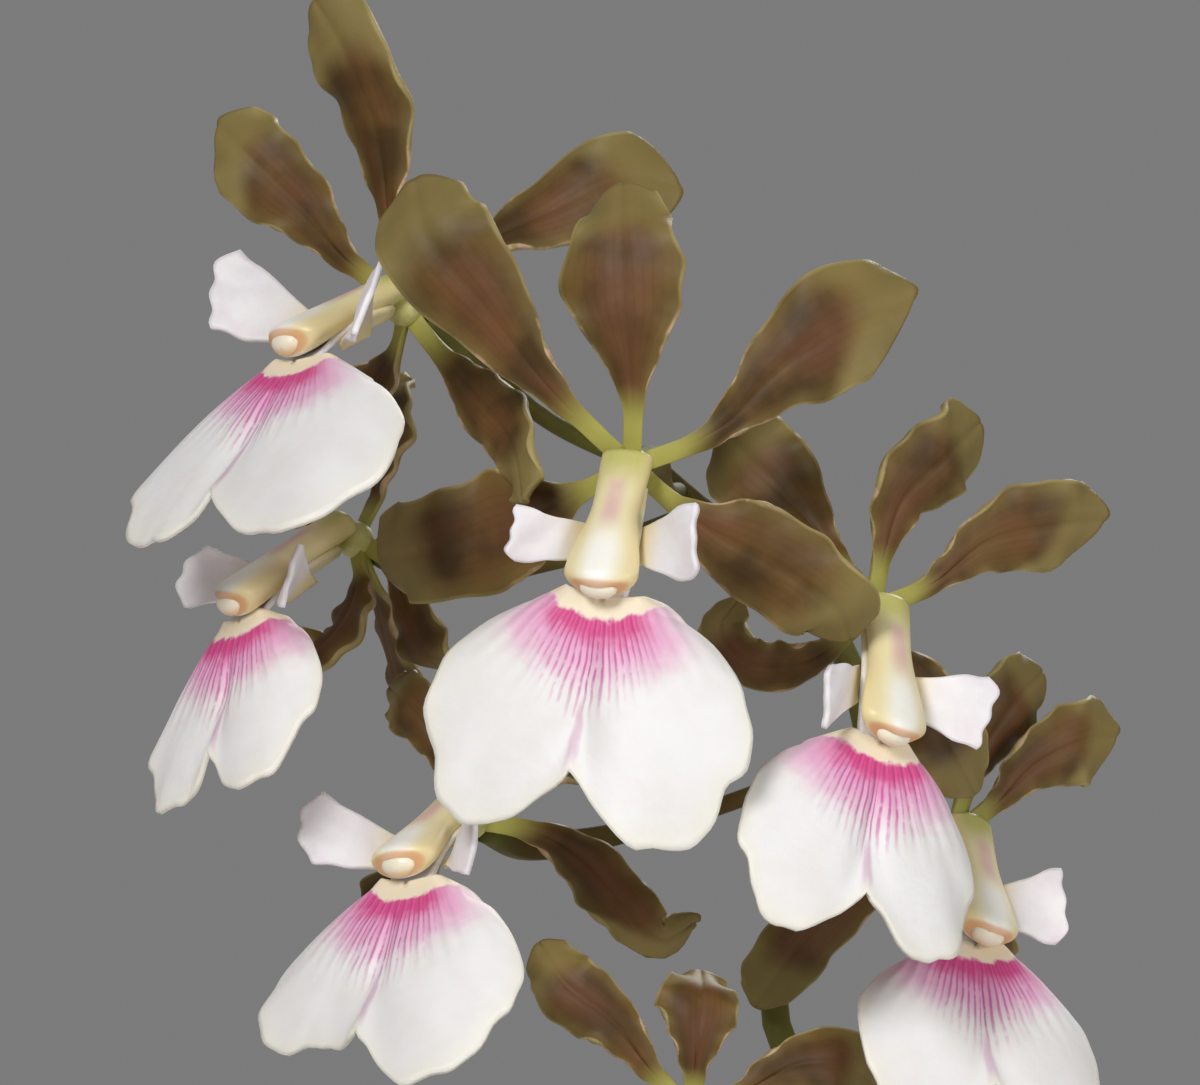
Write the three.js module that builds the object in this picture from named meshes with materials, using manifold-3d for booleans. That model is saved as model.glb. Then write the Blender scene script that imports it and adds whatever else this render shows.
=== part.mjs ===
// A potted Encyclia randii orchid in flower, in millimetres, +Z up.
// The origin is the middle of the flat underside of the pot. The blooms look towards -Y, +X is their right.
import * as THREE from 'three';
import { mergeVertices } from 'three/addons/utils/BufferGeometryUtils.js';
import Module from 'manifold-3d';

const wasm = await Module();
wasm.setup();

const { degToRad, lerp, smoothstep } = THREE.MathUtils;
const UP = new THREE.Vector3(0, 0, 1);

// Driving dimensions
const GAP = 0.35; // clearance between two pieces that touch
const POT = { rim: 68, neck: 62, foot: 44, height: 115, band: 23, wall: 6, floor: 8, edge: 1.5, sides: 24 };
const DRAIN = { radius: 5.5, circle: 19, count: 3 };
const BARK = { top: 102, chunks: 30, size: 15, sunk: 3, tilt: 0.4 };
const RHIZOME = { radius: 4.5, end: 96, ends: [[-48, 2], [49, -3]] };
const BULB = { foot: 101, top: 4.6 }; // height of the bulbs' feet and the radius of their flat tops
const ROOT = { radius: 1.4, taper: 0.3, sway: 1.5 };
const STEM = { radius: 1.9, top: 1.3 };
const PEDICEL = { radius: 0.9, ovary: 1.5, straight: 7, sag: 1.5 };
const HUB = 2.3; // radius of the small core where the five tepals meet
const BLADE = 0.8; // thickness of sepals, petals and lip
const LEAF = { thickness: 1.2, halfWidth: 10.5, foot: 2.4, apart: 3.4, root: 0.5, open: 0.35, narrow: 0.55 };
const COLUMN = { width: 2.5, tip: 3.6, depth: 1.5, swell: [0.3, 0.9] };

// The flower stalk, from the top of the third bulb to the highest flower, and how far below its end
// each bloom's own stalk leaves it
const STALK_ROUTE = [[15, 2, 165.5], [16, 5, 215], [20, 9, 270], [21, 10, 330], [19, 10, 374],
  [16.4, 10, 386], [14, 10, 394], [17.5, 10, 402], [22.5, 10, 411], [24, 10, 420], [20.5, 10, 430],
  [16.8, 10, 435], [12, 9.5, 438.6], [6.5, 8.5, 442.6], [2, 7.5, 446.5]];
const JOINTS = { A: 1, B: 7, C: 4, D: 23, E: 38, F: 44, G: 78 };

// Bulbs stand in a row on the rhizome: place, height, radius and lean
const BULBS = [
  { x: -39, y: 3, height: 46, radius: 11, lean: -9 },
  { x: -13, y: -3, height: 56, radius: 12.5, lean: -5 },
  { x: 14, y: 2, height: 63, radius: 13.5, lean: 1 },
  { x: 40, y: -2, height: 55, radius: 11.5, lean: 9 },
];

// Strap leaves: bulb they grow from, compass angle, how far they reach out and rise, and how much they droop
const LEAVES = [
  { bulb: 0, angle: 168, reach: 78, rise: 150, droop: 0.42 },
  { bulb: 1, angle: 115, reach: 74, rise: 200, droop: 0.36 },
  { bulb: 1, angle: 245, reach: 92, rise: 175, droop: 0.45 },
  { bulb: 2, angle: 95, reach: 84, rise: 212, droop: 0.38 },
  { bulb: 2, angle: 275, reach: 86, rise: 190, droop: 0.42 },
  { bulb: 3, angle: 65, reach: 96, rise: 172, droop: 0.44 },
  { bulb: 3, angle: 298, reach: 70, rise: 160, droop: 0.32 },
];

// Outline of the lip's middle lobe: half of it, as distance from the throat at each angle off its own axis
const LIP_ANGLE_END = 100;
const LIP_OUTLINE = [[0, 17.3], [9, 21.5], [17, 25], [30, 25.8], [37, 23.6], [43, 21.8], [50, 21],
  [58, 18.6], [66, 15.3], [73, 12.2], [82, 8], [100, 4.6]];
const THROAT = 3.4; // radius of the lip's middle lobe where it starts

// Blooms. heart: where the parts of the flower meet. turn: yaw, pitch and roll of the way it faces.
// throat: where the lip's middle lobe starts, from the heart. lip: the lobe's own turn and size, then for
// its left and right half the spread and how much shorter its lower end is. sides: the length, the half
// height at the end and the rise of the left and right side lobe. Each tepal has its half width, how much
// it narrows before its tip, its roll at the tip, how far its tip slants, and its route from the heart.
const shape = (wide, taper, roll, slant, ...route) => ({ wide, taper, roll, slant, route });
const BLOOMS = {
  A: {
    heart: [-22.5, 0, 462.2], turn: [-49, 30, -10], throat: [-10.8, -9.5, -5.6],
    lip: { turn: [-49, 30, -5], size: 1.02, spread: [0.92, 1.2], trim: [0.07, 0] },
    sides: [[13.5, 4.7, 3.8], [11.5, 4.6, 0]],
    dorsal: shape(4.4, 0, 8, 0, [-1.3, 1, 7.3], [-2.8, 0.5, 17.8], [-6.2, 0, 26.2], [-9, 2.4, 31]),
    leftPetal: shape(4.6, 0, 0, 0.08, [-6, -1, 5], [-10.5, -1, 10.2], [-15.5, 0, 15], [-18.8, 4, 18.4]),
    rightPetal: shape(5.2, 0, 60, 0.05, [6.5, 2, 5.6], [14, 4, 9.4], [21.5, 5, 13], [27.6, 8, 12.4]),
    leftSepal: shape(3.6, 0.1, 0, 0, [-1.2, 1.5, -4.4], [-4, 3.5, -8], [-9.5, 5, -9.2], [-14.7, 6, -7]),
    rightSepal: shape(3.2, 0.1, 20, 0, [3.6, -2, -4.6], [7.5, -7.5, -9.2], [11, -15, -14],
      [12, -20, -19.4]),
  },
  B: {
    heart: [-27.5, 3, 439], turn: [-60, 22, 3], throat: [-11.3, -6.5, -8.1],
    lip: { turn: [-52, 14, -15], size: 0.88, spread: [0.86, 0.84], trim: [0.09, 0] },
    sides: [[10.8, 3.2, -1.3], [9.5, 3.2, 0]],
    dorsal: shape(3.4, 0.2, 0, 0, [1.8, 2, 4], [3, 4, 9], [3.3, 7, 13.5], [3.2, 11, 16]),
    leftPetal: shape(4, 0.2, 0, 0, [-3, 5, 2], [-7, 11, 4], [-10, 17, 5], [-11, 23, 4]),
    rightPetal: shape(3.2, 0.2, 30, 0, [3.4, -2, -2], [5.4, -4, -7], [7.5, -4, -11.8], [10.5, -1, -13]),
    leftSepal: shape(3.4, 0.2, 0, 0, [2, 2.5, -5], [3.4, 5, -11], [5.2, 6, -17], [8, 8, -21.5]),
    rightSepal: shape(3.6, 0.1, 0, 0, [0.4, -2, -4.2], [-1.4, -4.4, -8.6], [-4.6, -4.5, -11.4],
      [-6.4, -2, -9]),
  },
  C: {
    heart: [0.2, -19, 446.2], turn: [-14, -4, 5], throat: [-3, -8, -12.9],
    lip: { turn: [-16, -4, 9], size: 1.01, spread: [0.99, 1.04], trim: [0, 0] },
    sides: [[9.5, 2.8, 0.8], [9.8, 3.9, 1.5]],
    dorsal: shape(6.6, 0.35, 0, 0, [0, -1.5, 6.8], [-0.8, -3, 15.5], [-1.2, -1.5, 23], [-1, 3, 28]),
    leftPetal: shape(6.1, 0.1, 0, 0, [-8.1, -1, 7.7], [-14.4, -2, 15.6], [-20.4, -0.5, 23.2],
      [-21.4, 4, 28.6]),
    rightPetal: shape(5.9, 0, 0, -0.1, [8.3, -1, 3.6], [14.8, -2, 9.8], [21, -1, 14], [28, 2.6, 16.8]),
    leftSepal: shape(5.6, 0.1, 0, 0, [-7, 3, -3.4], [-15, 7.5, -6.6], [-22.6, 9, -8.8], [-25, 13.5, -9.2]),
    rightSepal: shape(5.1, 0.2, 0, 0, [7.6, -1, -6.2], [14.6, -2, -10], [20.2, -2.4, -14.2],
      [21.4, 0.5, -17]),
  },
  D: {
    heart: [24, -11, 432.2], turn: [34, -2, 12], throat: [0.7, -7.8, -13.2],
    lip: { turn: [26, 5, 15], size: 0.91, spread: [0.93, 0.89], trim: [0, 0] },
    sides: [[9.5, 3.2, -2.6], [10.3, 3.7, -0.3]],
    dorsal: shape(4.6, 0.1, 0, 0, [1.2, 0, 5.8], [3, 0, 10.8], [7, 1, 14.8], [10.8, 5, 18.6]),
    leftPetal: shape(5, 0, -50, 0, [-3.6, 2, 5.2], [-7.8, 4, 10.4], [-11.8, 6, 14.6], [-14.6, 9, 18]),
    rightPetal: shape(4.6, 0, 0, -0.1, [5.5, 1, 2.2], [11.5, 3, 6.6], [17.5, 4, 8], [23.4, 8, 8.8]),
    leftSepal: shape(2.5, 0.1, 30, 0, [-3, 1, -3], [-7, 2, -5.4], [-12, 1, -5.4], [-15, 2, -2],
      [-13, 4, 1]),
    rightSepal: shape(4.4, 0.2, 0, 0, [2.3, 2, -4.7], [5.5, 3.5, -9.7], [8.5, 4, -14.7], [10.3, 6, -18.6]),
  },
  E: {
    heart: [-16, -4, 411], turn: [-41, 16, -5], throat: [-6.1, -11, -6],
    lip: { turn: [-41, 18, -4], size: 0.97, spread: [1, 1.03], trim: [0.25, 0] },
    sides: [[12, 3.6, 2.5], [9.5, 3.4, 0]],
    dorsal: shape(4, 0.2, 0, 0, [1, 1, 5], [2.5, 3, 10.5], [3, 6, 16], [3.5, 10, 19]),
    leftPetal: shape(3.4, 0.2, 0, 0, [-2, 1, 4.5], [-4, 2.5, 9], [-6.5, 4, 12], [-8, 8, 13.2]),
    rightPetal: shape(4, 0.2, 0, 0, [5, 2, 3], [10, 5, 6], [15, 8, 8], [19, 11, 9]),
    leftSepal: shape(3.8, 0.2, 0, 0, [-3.5, 2.5, -3], [-7, 5, -6.5], [-10, 8, -10], [-11.5, 12, -13]),
    rightSepal: shape(3, 0.2, 0, -0.1, [6, 0, -1], [11.5, 0, -4], [15.5, 0, -8.5], [19, 0, -12],
      [22.8, 1, -10]),
  },
  F: {
    heart: [32.5, 5, 409.5], turn: [41, 10, 12], throat: [1.8, -9.6, -10.9],
    lip: { turn: [26, 20, 8], size: 0.94, spread: [0.89, 0.9], trim: [0, 0] },
    sides: [[9, 3.4, 0], [8.8, 3.9, 0.5]],
    dorsal: shape(4, 0.05, 0, 0, [1.3, 1, 4.5], [3.2, 2, 9], [6, 3, 13], [9, 7, 16.2]),
    leftPetal: shape(3.8, 0.2, 0, 0, [-5, 1, 2], [-10.5, 0.5, 3.5], [-15, 0, 3.5], [-17.5, 2, 2.5]),
    rightPetal: shape(4.3, 0, 0, -0.1, [4, 0.5, 3], [8, 1.5, 6.8], [12.5, 3.5, 9], [16.6, 8, 9.8]),
    leftSepal: shape(3.7, 0.1, 0, 0, [-4.5, 0, -2.5], [-10.5, -1, -6], [-16, -2, -11.4], [-20, 0.5, -17.4]),
    rightSepal: shape(3.8, 0.2, 0, 0, [2, 2.5, -3.5], [4, 6.5, -8.5], [5, 12, -13], [5, 18, -16]),
  },
  G: {
    heart: [6, -14, 382], turn: [6, 2, 0], throat: [0, -9.6, -12.4],
    lip: { turn: [6, 4, -4], size: 0.97, spread: [1, 1], trim: [0, 0] },
    sides: [[10, 3.6, 0.5], [10, 3.6, 0.5]],
    dorsal: shape(4, 0.2, 0, 0, [0.3, -1, 4.2], [0.7, -1.5, 8.6], [1, 0, 12], [1, 5, 14]),
    leftPetal: shape(3.9, 0.3, 0, 0, [-4, -1, 4.5], [-7.8, -1, 9.4], [-12.4, 0, 13], [-15, 4, 17]),
    rightPetal: shape(3.9, 0.2, 0, 0, [5.5, -1, 2.6], [10.5, 0, 5], [15.5, 2.5, 4.8], [18.6, 6, 2.4]),
    leftSepal: shape(4.4, 0.2, 0, 0, [-6, 1, -4], [-12, 3, -7.5], [-18, 5, -12], [-20, 9, -15]),
    rightSepal: shape(4.4, 0.2, 0, 0, [6, 1, -4.5], [12, 3, -8.5], [17, 5, -13.5], [18.5, 9, -17]),
  },
};

// Colours and finishes
const paint = (color, roughness) => new THREE.MeshStandardMaterial({ color, roughness, metalness: 0 });
const TERRACOTTA = paint(0xb5673f, 0.85);
const BARK_BROWN = paint(0x5a3b25, 0.9);
const ROOT_WHITE = paint(0xb9b39c, 0.8);
const BULB_GREEN = paint(0x7d8f45, 0.5);
const LEAF_GREEN = paint(0x4f7a35, 0.45);
const STALK_GREEN = paint(0x6f7d3a, 0.5);
const TEPAL_BROWN = paint(0x7a5528, 0.45);
const LIP_WHITE = paint(0xf1ecec, 0.55);
const COLUMN_CREAM = paint(0xebe1af, 0.45);

// A closed three.js geometry as a solid that can be joined and cut
function solid(geometry) {
  const bare = geometry.clone();
  bare.deleteAttribute('normal');
  bare.deleteAttribute('uv');
  const merged = mergeVertices(bare, 1e-4);
  const corners = merged.index.array;
  const kept = [];
  for (let i = 0; i < corners.length; i += 3) {
    const [a, b, c] = corners.slice(i, i + 3);
    if (a !== b && b !== c && c !== a) kept.push(a, b, c);
  }
  const vertProperties = new Float32Array(merged.attributes.position.array);
  const triVerts = new Uint32Array(kept);
  return new wasm.Manifold(new wasm.Mesh({ numProp: 3, vertProperties, triVerts }));
}

// Joined or cut solids back as one three.js mesh
function piece(name, body, material) {
  const { vertProperties, triVerts } = body.getMesh();
  const geometry = new THREE.BufferGeometry();
  geometry.setAttribute('position', new THREE.BufferAttribute(new Float32Array(vertProperties), 3));
  geometry.setIndex(new THREE.BufferAttribute(new Uint32Array(triVerts), 1));
  const mesh = new THREE.Mesh(geometry, material);
  mesh.name = name;
  return mesh;
}

const join = (solids) => solids.reduce((sum, next) => sum.add(next));
const point = ([x, y, z]) => new THREE.Vector3(x, y, z);

// The largest of the loose parts that a cut leaves
function largest(body) {
  const parts = body.decompose();
  return parts.reduce((best, part) => (part.volume() > best.volume() ? part : best));
}

// A small repeatable draw of numbers from 0 to 1
function draw(seed) {
  let state = seed;
  return () => {
    state = (state * 16807) % 2147483647;
    return state / 2147483647;
  };
}

// A closed geometry from its corners and its triangles
function closed(points, triangles) {
  const geometry = new THREE.BufferGeometry().setFromPoints(points);
  geometry.setIndex(triangles);
  return geometry;
}

// A thin sheet: surface(s, v) gives its middle, with s from 0 to 1 along and v from -1 to 1 across.
// Both faces are split into triangles the same way, so the thickness stays even where it waves.
function sheet(surface, thickness, along, across) {
  const step = 1e-3;
  const front = [];
  const back = [];
  for (let i = 0; i <= along; i++) {
    for (let j = 0; j <= across; j++) {
      const s = i / along;
      const v = lerp(-1, 1, j / across);
      const ds = surface(Math.min(s + step, 1), v).sub(surface(Math.max(s - step, 0), v));
      const dv = surface(s, Math.min(v + step, 1)).sub(surface(s, Math.max(v - step, -1)));
      const normal = dv.cross(ds).normalize().multiplyScalar(thickness / 2);
      const middle = surface(s, v);
      front.push(middle.clone().add(normal));
      back.push(middle.clone().sub(normal));
    }
  }
  const half = front.length;
  const row = across + 1;
  const triangles = [];
  const quad = (a, b, c, d) => triangles.push(a, b, c, a, c, d);
  for (let i = 0; i < along; i++) {
    for (let j = 0; j < across; j++) {
      const a = i * row + j;
      const b = a + row + 1;
      triangles.push(a, a + 1, b, a, b, a + row);
      triangles.push(a + half, b + half, a + half + 1, a + half, a + half + row, b + half);
    }
    const left = i * row;
    const right = left + across;
    quad(left, left + row, left + row + half, left + half);
    quad(right, right + half, right + row + half, right + row);
  }
  for (let j = 0; j < across; j++) {
    const last = along * row + j;
    quad(j, j + half, j + half + 1, j + 1);
    quad(last, last + 1, last + half + 1, last + half);
  }
  return closed([...front, ...back], triangles);
}

// A round or flattened rod: place(s) gives the middle and the two half axes of its section
function rod(place, steps, sides) {
  const points = [];
  for (let i = 0; i <= steps; i++) {
    const { middle, wide, deep } = place(i / steps);
    for (let k = 0; k < sides; k++) {
      const angle = (2 * Math.PI * k) / sides;
      const rim = middle.clone().addScaledVector(wide, Math.cos(angle));
      points.push(rim.addScaledVector(deep, Math.sin(angle)));
    }
  }
  const triangles = [];
  for (let i = 0; i < steps; i++) {
    for (let k = 0; k < sides; k++) {
      const a = i * sides + k;
      const b = i * sides + ((k + 1) % sides);
      triangles.push(a, b, b + sides, a, b + sides, a + sides);
    }
  }
  for (let k = 1; k < sides - 1; k++) {
    triangles.push(0, k + 1, k);
    triangles.push(steps * sides, steps * sides + k, steps * sides + k + 1);
  }
  return closed(points, triangles);
}

// A rod of round section along a route, with its radius as a function of the way along
function cane(route, radius, steps, sides) {
  const curve = new THREE.CatmullRomCurve3(route.map(point));
  const { normals, binormals } = curve.computeFrenetFrames(steps);
  return rod((s) => {
    const i = Math.round(s * steps);
    return {
      middle: curve.getPointAt(s),
      wide: normals[i].clone().multiplyScalar(radius(s)),
      deep: binormals[i].clone().multiplyScalar(radius(s)),
    };
  }, steps, sides);
}

// The middle line of a blade with the way its face looks, carried along it without twisting and then rolled
const FINE = 24;
function spine(route, facing, roll = 0) {
  const curve = new THREE.CatmullRomCurve3(route);
  const carried = facing.clone();
  const stations = [];
  for (let i = 0; i <= FINE; i++) {
    const s = i / FINE;
    const tangent = curve.getTangentAt(s);
    carried.addScaledVector(tangent, -carried.dot(tangent)).normalize();
    const normal = carried.clone().applyAxisAngle(tangent, degToRad(roll * s));
    stations.push({ middle: curve.getPointAt(s), normal, side: tangent.clone().cross(normal) });
  }
  return (s) => {
    const from = Math.min(Math.floor(s * FINE), FINE - 1);
    const part = s * FINE - from;
    const mix = (key) => stations[from][key].clone().lerp(stations[from + 1][key], part);
    return { middle: mix('middle'), normal: mix('normal').normalize(), side: mix('side').normalize() };
  };
}

// Half the width of a tepal: a narrow claw, then its full width, narrowing again before a rounded tip
const CLAW = { end: 0.15, halfWidth: 1.3 };
const TAPER = { start: 0.62, end: 0.92 };
const ROUNDING = { start: 0.8, cut: 0.7, arc: 0.06 };
function halfWidth(s, wide, taper, full) {
  const opened = lerp(CLAW.halfWidth, wide, smoothstep(s, CLAW.end, full));
  const narrowed = 1 - taper * smoothstep(s, TAPER.start, TAPER.end);
  const past = Math.max(0, (s - ROUNDING.start) / (1 - ROUNDING.start));
  return opened * narrowed * Math.sqrt(1 - ROUNDING.cut * past * past);
}

// A sepal or petal: a thin blade with its edges turned back a little and rippled
const CUP = -0.18; // how far its edges lie behind its middle, as part of its half width
const TEPAL_START = 0.05; // part of its length that a tepal leaves out inside the hub
const RIPPLE = { size: 0.5, waves: 3 };
function tepal({ route, wide, taper, roll, slant }, full, facing) {
  const line = spine([new THREE.Vector3(), ...route.map(point)], facing, roll);
  const surface = (part, v) => {
    const s = lerp(TEPAL_START, 1 + slant * v - (ROUNDING.arc + Math.abs(slant)) * v * v, part);
    const { middle, normal, side } = line(s);
    const reach = halfWidth(s, wide, taper, full);
    const ripple = RIPPLE.size * s * v * v * Math.sin(2 * Math.PI * RIPPLE.waves * s + v);
    return middle.addScaledVector(side, v * reach).addScaledVector(normal, CUP * reach * v * v + ripple);
  };
  return sheet(surface, BLADE, 6, 4);
}

// The way a bloom faces, as its right, up and forward directions
function facingOf([yaw, pitch, roll]) {
  const turn = new THREE.Matrix4().makeRotationZ(degToRad(yaw));
  turn.multiply(new THREE.Matrix4().makeRotationX(degToRad(-pitch)));
  turn.multiply(new THREE.Matrix4().makeRotationY(degToRad(roll)));
  const right = new THREE.Vector3(1, 0, 0).transformDirection(turn);
  const up = new THREE.Vector3(0, 0, 1).transformDirection(turn);
  const forward = new THREE.Vector3(0, -1, 0).transformDirection(turn);
  return { right, up, forward };
}

// Distance of the lip's edge from the throat at an angle off its axis, by straight steps between its points
function lipReach(angle) {
  const at = Math.abs(angle);
  const next = LIP_OUTLINE.findIndex(([a]) => a >= at);
  if (next <= 0) return LIP_OUTLINE[0][1];
  const [a0, r0] = LIP_OUTLINE[next - 1];
  const [a1, r1] = LIP_OUTLINE[next];
  return lerp(r0, r1, (at - a0) / (a1 - a0));
}

// The lip's middle lobe: a fan from the throat with its edges turned back and ruffled
const FAN = { slope: 75, droop: 3.6, ruffle: 0.7, waves: 5, crease: 0.9, creaseAngle: 9 };
const END = { angle: 22, width: 14 }; // where the lower end of each half lies, off the lobe's axis
function middleLobe(origin, { turn, size, spread, trim }) {
  const { right, up, forward } = facingOf(turn);
  const slope = degToRad(FAN.slope);
  const down = up.clone().multiplyScalar(-Math.sin(slope)).addScaledVector(forward, Math.cos(slope));
  const out = up.clone().multiplyScalar(Math.cos(slope)).addScaledVector(forward, Math.sin(slope));
  const surface = (t, v) => {
    const angle = v * LIP_ANGLE_END;
    const off = Math.sin(degToRad(angle));
    const half = v < 0 ? 0 : 1;
    const shorter = 1 - trim[half] * Math.exp(-(((Math.abs(angle) - END.angle) / END.width) ** 2));
    const reach = size * lerp(THROAT, lipReach(angle) * shorter, t);
    const droop = FAN.droop * t * t * Math.sqrt(Math.abs(off));
    const ruffle = FAN.ruffle * t ** 3 * Math.sin(FAN.waves * degToRad(angle));
    const crease = FAN.crease * Math.exp(-((angle / FAN.creaseAngle) ** 2)) * Math.sin(Math.PI * t);
    return origin.clone()
      .addScaledVector(right, off * reach * spread[half])
      .addScaledVector(down, Math.cos(degToRad(angle)) * reach)
      .addScaledVector(out, size * (ruffle - droop) - crease);
  };
  return { down, sheet: sheet(surface, BLADE, 3, 14) };
}

// A side lobe of the lip: a short blade that widens to a blunt end, standing out beside the column
const SIDE = { foot: 2.2, root: 0.58, apart: 2.05, curl: 1.2, arc: 0.12 };
const SIDE_END = { turnUp: 1.5, full: 0.8 }; // how soon the blade stands upright and is full height
function sideLobe(hand, [length, tall, rise], { right, up, forward }, axis, lateral, throat, under) {
  const outward = right.clone().multiplyScalar(hand * Math.SQRT1_2).addScaledVector(forward, Math.SQRT1_2);
  const back = up.clone().cross(outward).multiplyScalar(hand);
  const root = throat.clone().multiplyScalar(SIDE.root).add(under);
  root.addScaledVector(lateral, hand * SIDE.apart);
  const surface = (s, v) => {
    const across = axis.clone().negate().lerp(up, Math.min(1, SIDE_END.turnUp * s)).normalize();
    return root.clone()
      .addScaledVector(outward, length * s * (1 - SIDE.arc * v * v))
      .addScaledVector(across, v * lerp(SIDE.foot, tall, smoothstep(s, 0, SIDE_END.full)))
      .addScaledVector(up, rise * s)
      .addScaledVector(back, SIDE.curl * s * s);
  };
  return sheet(surface, BLADE, 3, 2);
}

// The claw of the lip: a strap below the column, from the heart through the throat into the middle lobe
const STRAP = { start: 2, end: 3.2, reach: 1.3 };
function lipClaw(axis, throat, end, lateral) {
  const start = axis.clone().multiplyScalar(HUB + BLADE);
  const line = new THREE.CatmullRomCurve3([start, throat, end]);
  const surface = (s, v) => line.getPoint(s).addScaledVector(lateral, v * lerp(STRAP.start, STRAP.end, s));
  return sheet(surface, BLADE, 4, 2);
}

// The column: a flattened rod above the claw that swells towards its tip
function columnRod(axis, throat, lateral, above) {
  const { width, tip, depth, swell } = COLUMN;
  const offset = depth + BLADE / 2 + GAP;
  const start = HUB + 3 * GAP;
  const end = throat.length() - GAP;
  return rod((s) => ({
    middle: axis.clone().multiplyScalar(lerp(start, end, s)).addScaledVector(above, offset),
    wide: lateral.clone().multiplyScalar(lerp(width, tip, smoothstep(s, ...swell))),
    deep: above.clone().multiplyScalar(depth),
  }), 4, 8);
}

// One bloom: its tepals, its lip and its column, each a piece of its own. A tepal reaches its full width at
// this part of its length: the lateral sepals are elliptic, the rest widest near the tip.
const FULL = { dorsal: 0.68, leftPetal: 0.77, rightPetal: 0.77, leftSepal: 0.52, rightSepal: 0.52 };
function bloom(name, spec) {
  const facing = facingOf(spec.turn);
  const throat = point(spec.throat);
  const axis = throat.clone().normalize();
  const above = axis.clone().cross(facing.right).normalize();
  const lateral = above.clone().cross(axis);
  const under = above.clone().multiplyScalar(-BLADE / 2);
  const hub = new THREE.IcosahedronGeometry(HUB, 0);
  const blades = Object.entries(FULL).map(([kind, full]) => tepal(spec[kind], full, facing.forward));
  const tepals = join([hub, ...blades].map(solid));
  const lobe = middleLobe(throat, spec.lip);
  const clawEnd = throat.clone().addScaledVector(lobe.down, STRAP.reach * THROAT).add(under);
  const lip = join([
    lobe.sheet,
    lipClaw(axis, throat.clone().add(under), clawEnd, lateral),
    sideLobe(-1, spec.sides[0], facing, axis, lateral, throat, under),
    sideLobe(1, spec.sides[1], facing, axis, lateral, throat, under),
  ].map(solid));
  const column = solid(columnRod(axis, throat, lateral, above));

  const group = new THREE.Group();
  group.position.copy(point(spec.heart));
  group.add(piece(`bloom_${name}_tepals`, tepals, TEPAL_BROWN));
  group.add(piece(`bloom_${name}_lip`, lip, LIP_WHITE));
  group.add(piece(`bloom_${name}_column`, column, COLUMN_CREAM));
  return group;
}

// The pot: a turned terracotta wall with a raised rim band, and round drainage holes in its floor
const HOLE_SIDES = 12;
function pot() {
  const { rim, neck, foot, height, band, wall, floor, edge, sides } = POT;
  const shoulder = height - band;
  const profile = [
    [0, 0], [foot - edge, 0], [foot, edge], [neck, shoulder], [rim - edge, shoulder + edge],
    [rim, height - edge], [rim - edge, height], [rim - wall, height], [neck - wall, shoulder],
    [foot - wall, floor + edge], [foot - wall - edge, floor], [0, floor],
  ];
  const turned = new THREE.LatheGeometry(profile.map(([r, z]) => new THREE.Vector2(r, z)), sides);
  let body = solid(turned.rotateX(Math.PI / 2));
  for (let i = 0; i < DRAIN.count; i++) {
    const angle = (2 * Math.PI * i) / DRAIN.count + Math.PI / 2;
    const hole = new THREE.CylinderGeometry(DRAIN.radius, DRAIN.radius, 3 * floor, HOLE_SIDES);
    hole.rotateX(Math.PI / 2).translate(DRAIN.circle * Math.cos(angle), DRAIN.circle * Math.sin(angle), 0);
    body = body.subtract(solid(hole));
  }
  return piece('pot', body, TERRACOTTA);
}

// A pseudobulb: an upright swollen stem, widest below its middle, with a narrow flat top.
// A grown copy is what the bark mix leaves free round it.
const SWELLING = { low: 0.72, full: 0.8 }; // below 1: the widest place lies lower, and the sides are fuller
function bulbTip({ x, y, height, lean }) {
  const angle = degToRad(lean);
  return new THREE.Vector3(x + height * Math.sin(angle), y, BULB.foot + height * Math.cos(angle));
}
function bulbShape(bulb, grown) {
  const foot = new THREE.Vector3(bulb.x, bulb.y, BULB.foot);
  const across = new THREE.Vector3(Math.cos(degToRad(bulb.lean)), 0, -Math.sin(degToRad(bulb.lean)));
  return rod((s) => {
    const swelling = Math.sin(Math.PI * s ** SWELLING.low) ** SWELLING.full;
    const radius = lerp(BULB.top, bulb.radius, swelling) + grown;
    return {
      middle: foot.clone().lerp(bulbTip(bulb), s),
      wide: across.clone().multiplyScalar(radius),
      deep: new THREE.Vector3(0, radius, 0),
    };
  }, 7, 9);
}

// The rhizome: a creeping stem that joins the feet of the bulbs, lying in the surface of the bark
function rhizomeShape(grown) {
  const under = BULB.foot - RHIZOME.radius - 2 * GAP;
  const [first, last] = RHIZOME.ends.map((end) => [...end, RHIZOME.end]);
  const route = [first, ...BULBS.map(({ x, y }) => [x, y, under]), last];
  return cane(route, () => RHIZOME.radius + grown, 12, 7);
}

// Thick white roots that leave the rhizome, cross the bark and dive into it
const ROOTS = [
  { x: -34, angle: 238, length: 22 }, { x: -26, angle: 118, length: 30 }, { x: -1, angle: 262, length: 42 },
  { x: 2, angle: 80, length: 42 }, { x: 27, angle: 298, length: 28 }, { x: 28, angle: 60, length: 28 },
];
const ROOT_RISE = [[0, -4], [0.25, 2.2], [0.55, 1], [0.8, -1], [1, -9]]; // height over the bark along it
function rootShape({ x, angle, length }, grown) {
  const away = [Math.cos(degToRad(angle)), Math.sin(degToRad(angle))];
  const route = ROOT_RISE.map(([part, rise], i) => {
    const sway = (i % 2) * ROOT.sway;
    return [x + away[0] * length * part + sway, away[1] * length * part - sway, BARK.top + rise];
  });
  return cane(route, (s) => ROOT.radius * (1 - ROOT.taper * s) + grown, 7, 5);
}

function rhizome() {
  const body = join([rhizomeShape(0), ...ROOTS.map((root) => rootShape(root, 0))].map(solid));
  return piece('rhizome_and_roots', body, ROOT_WHITE);
}

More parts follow.
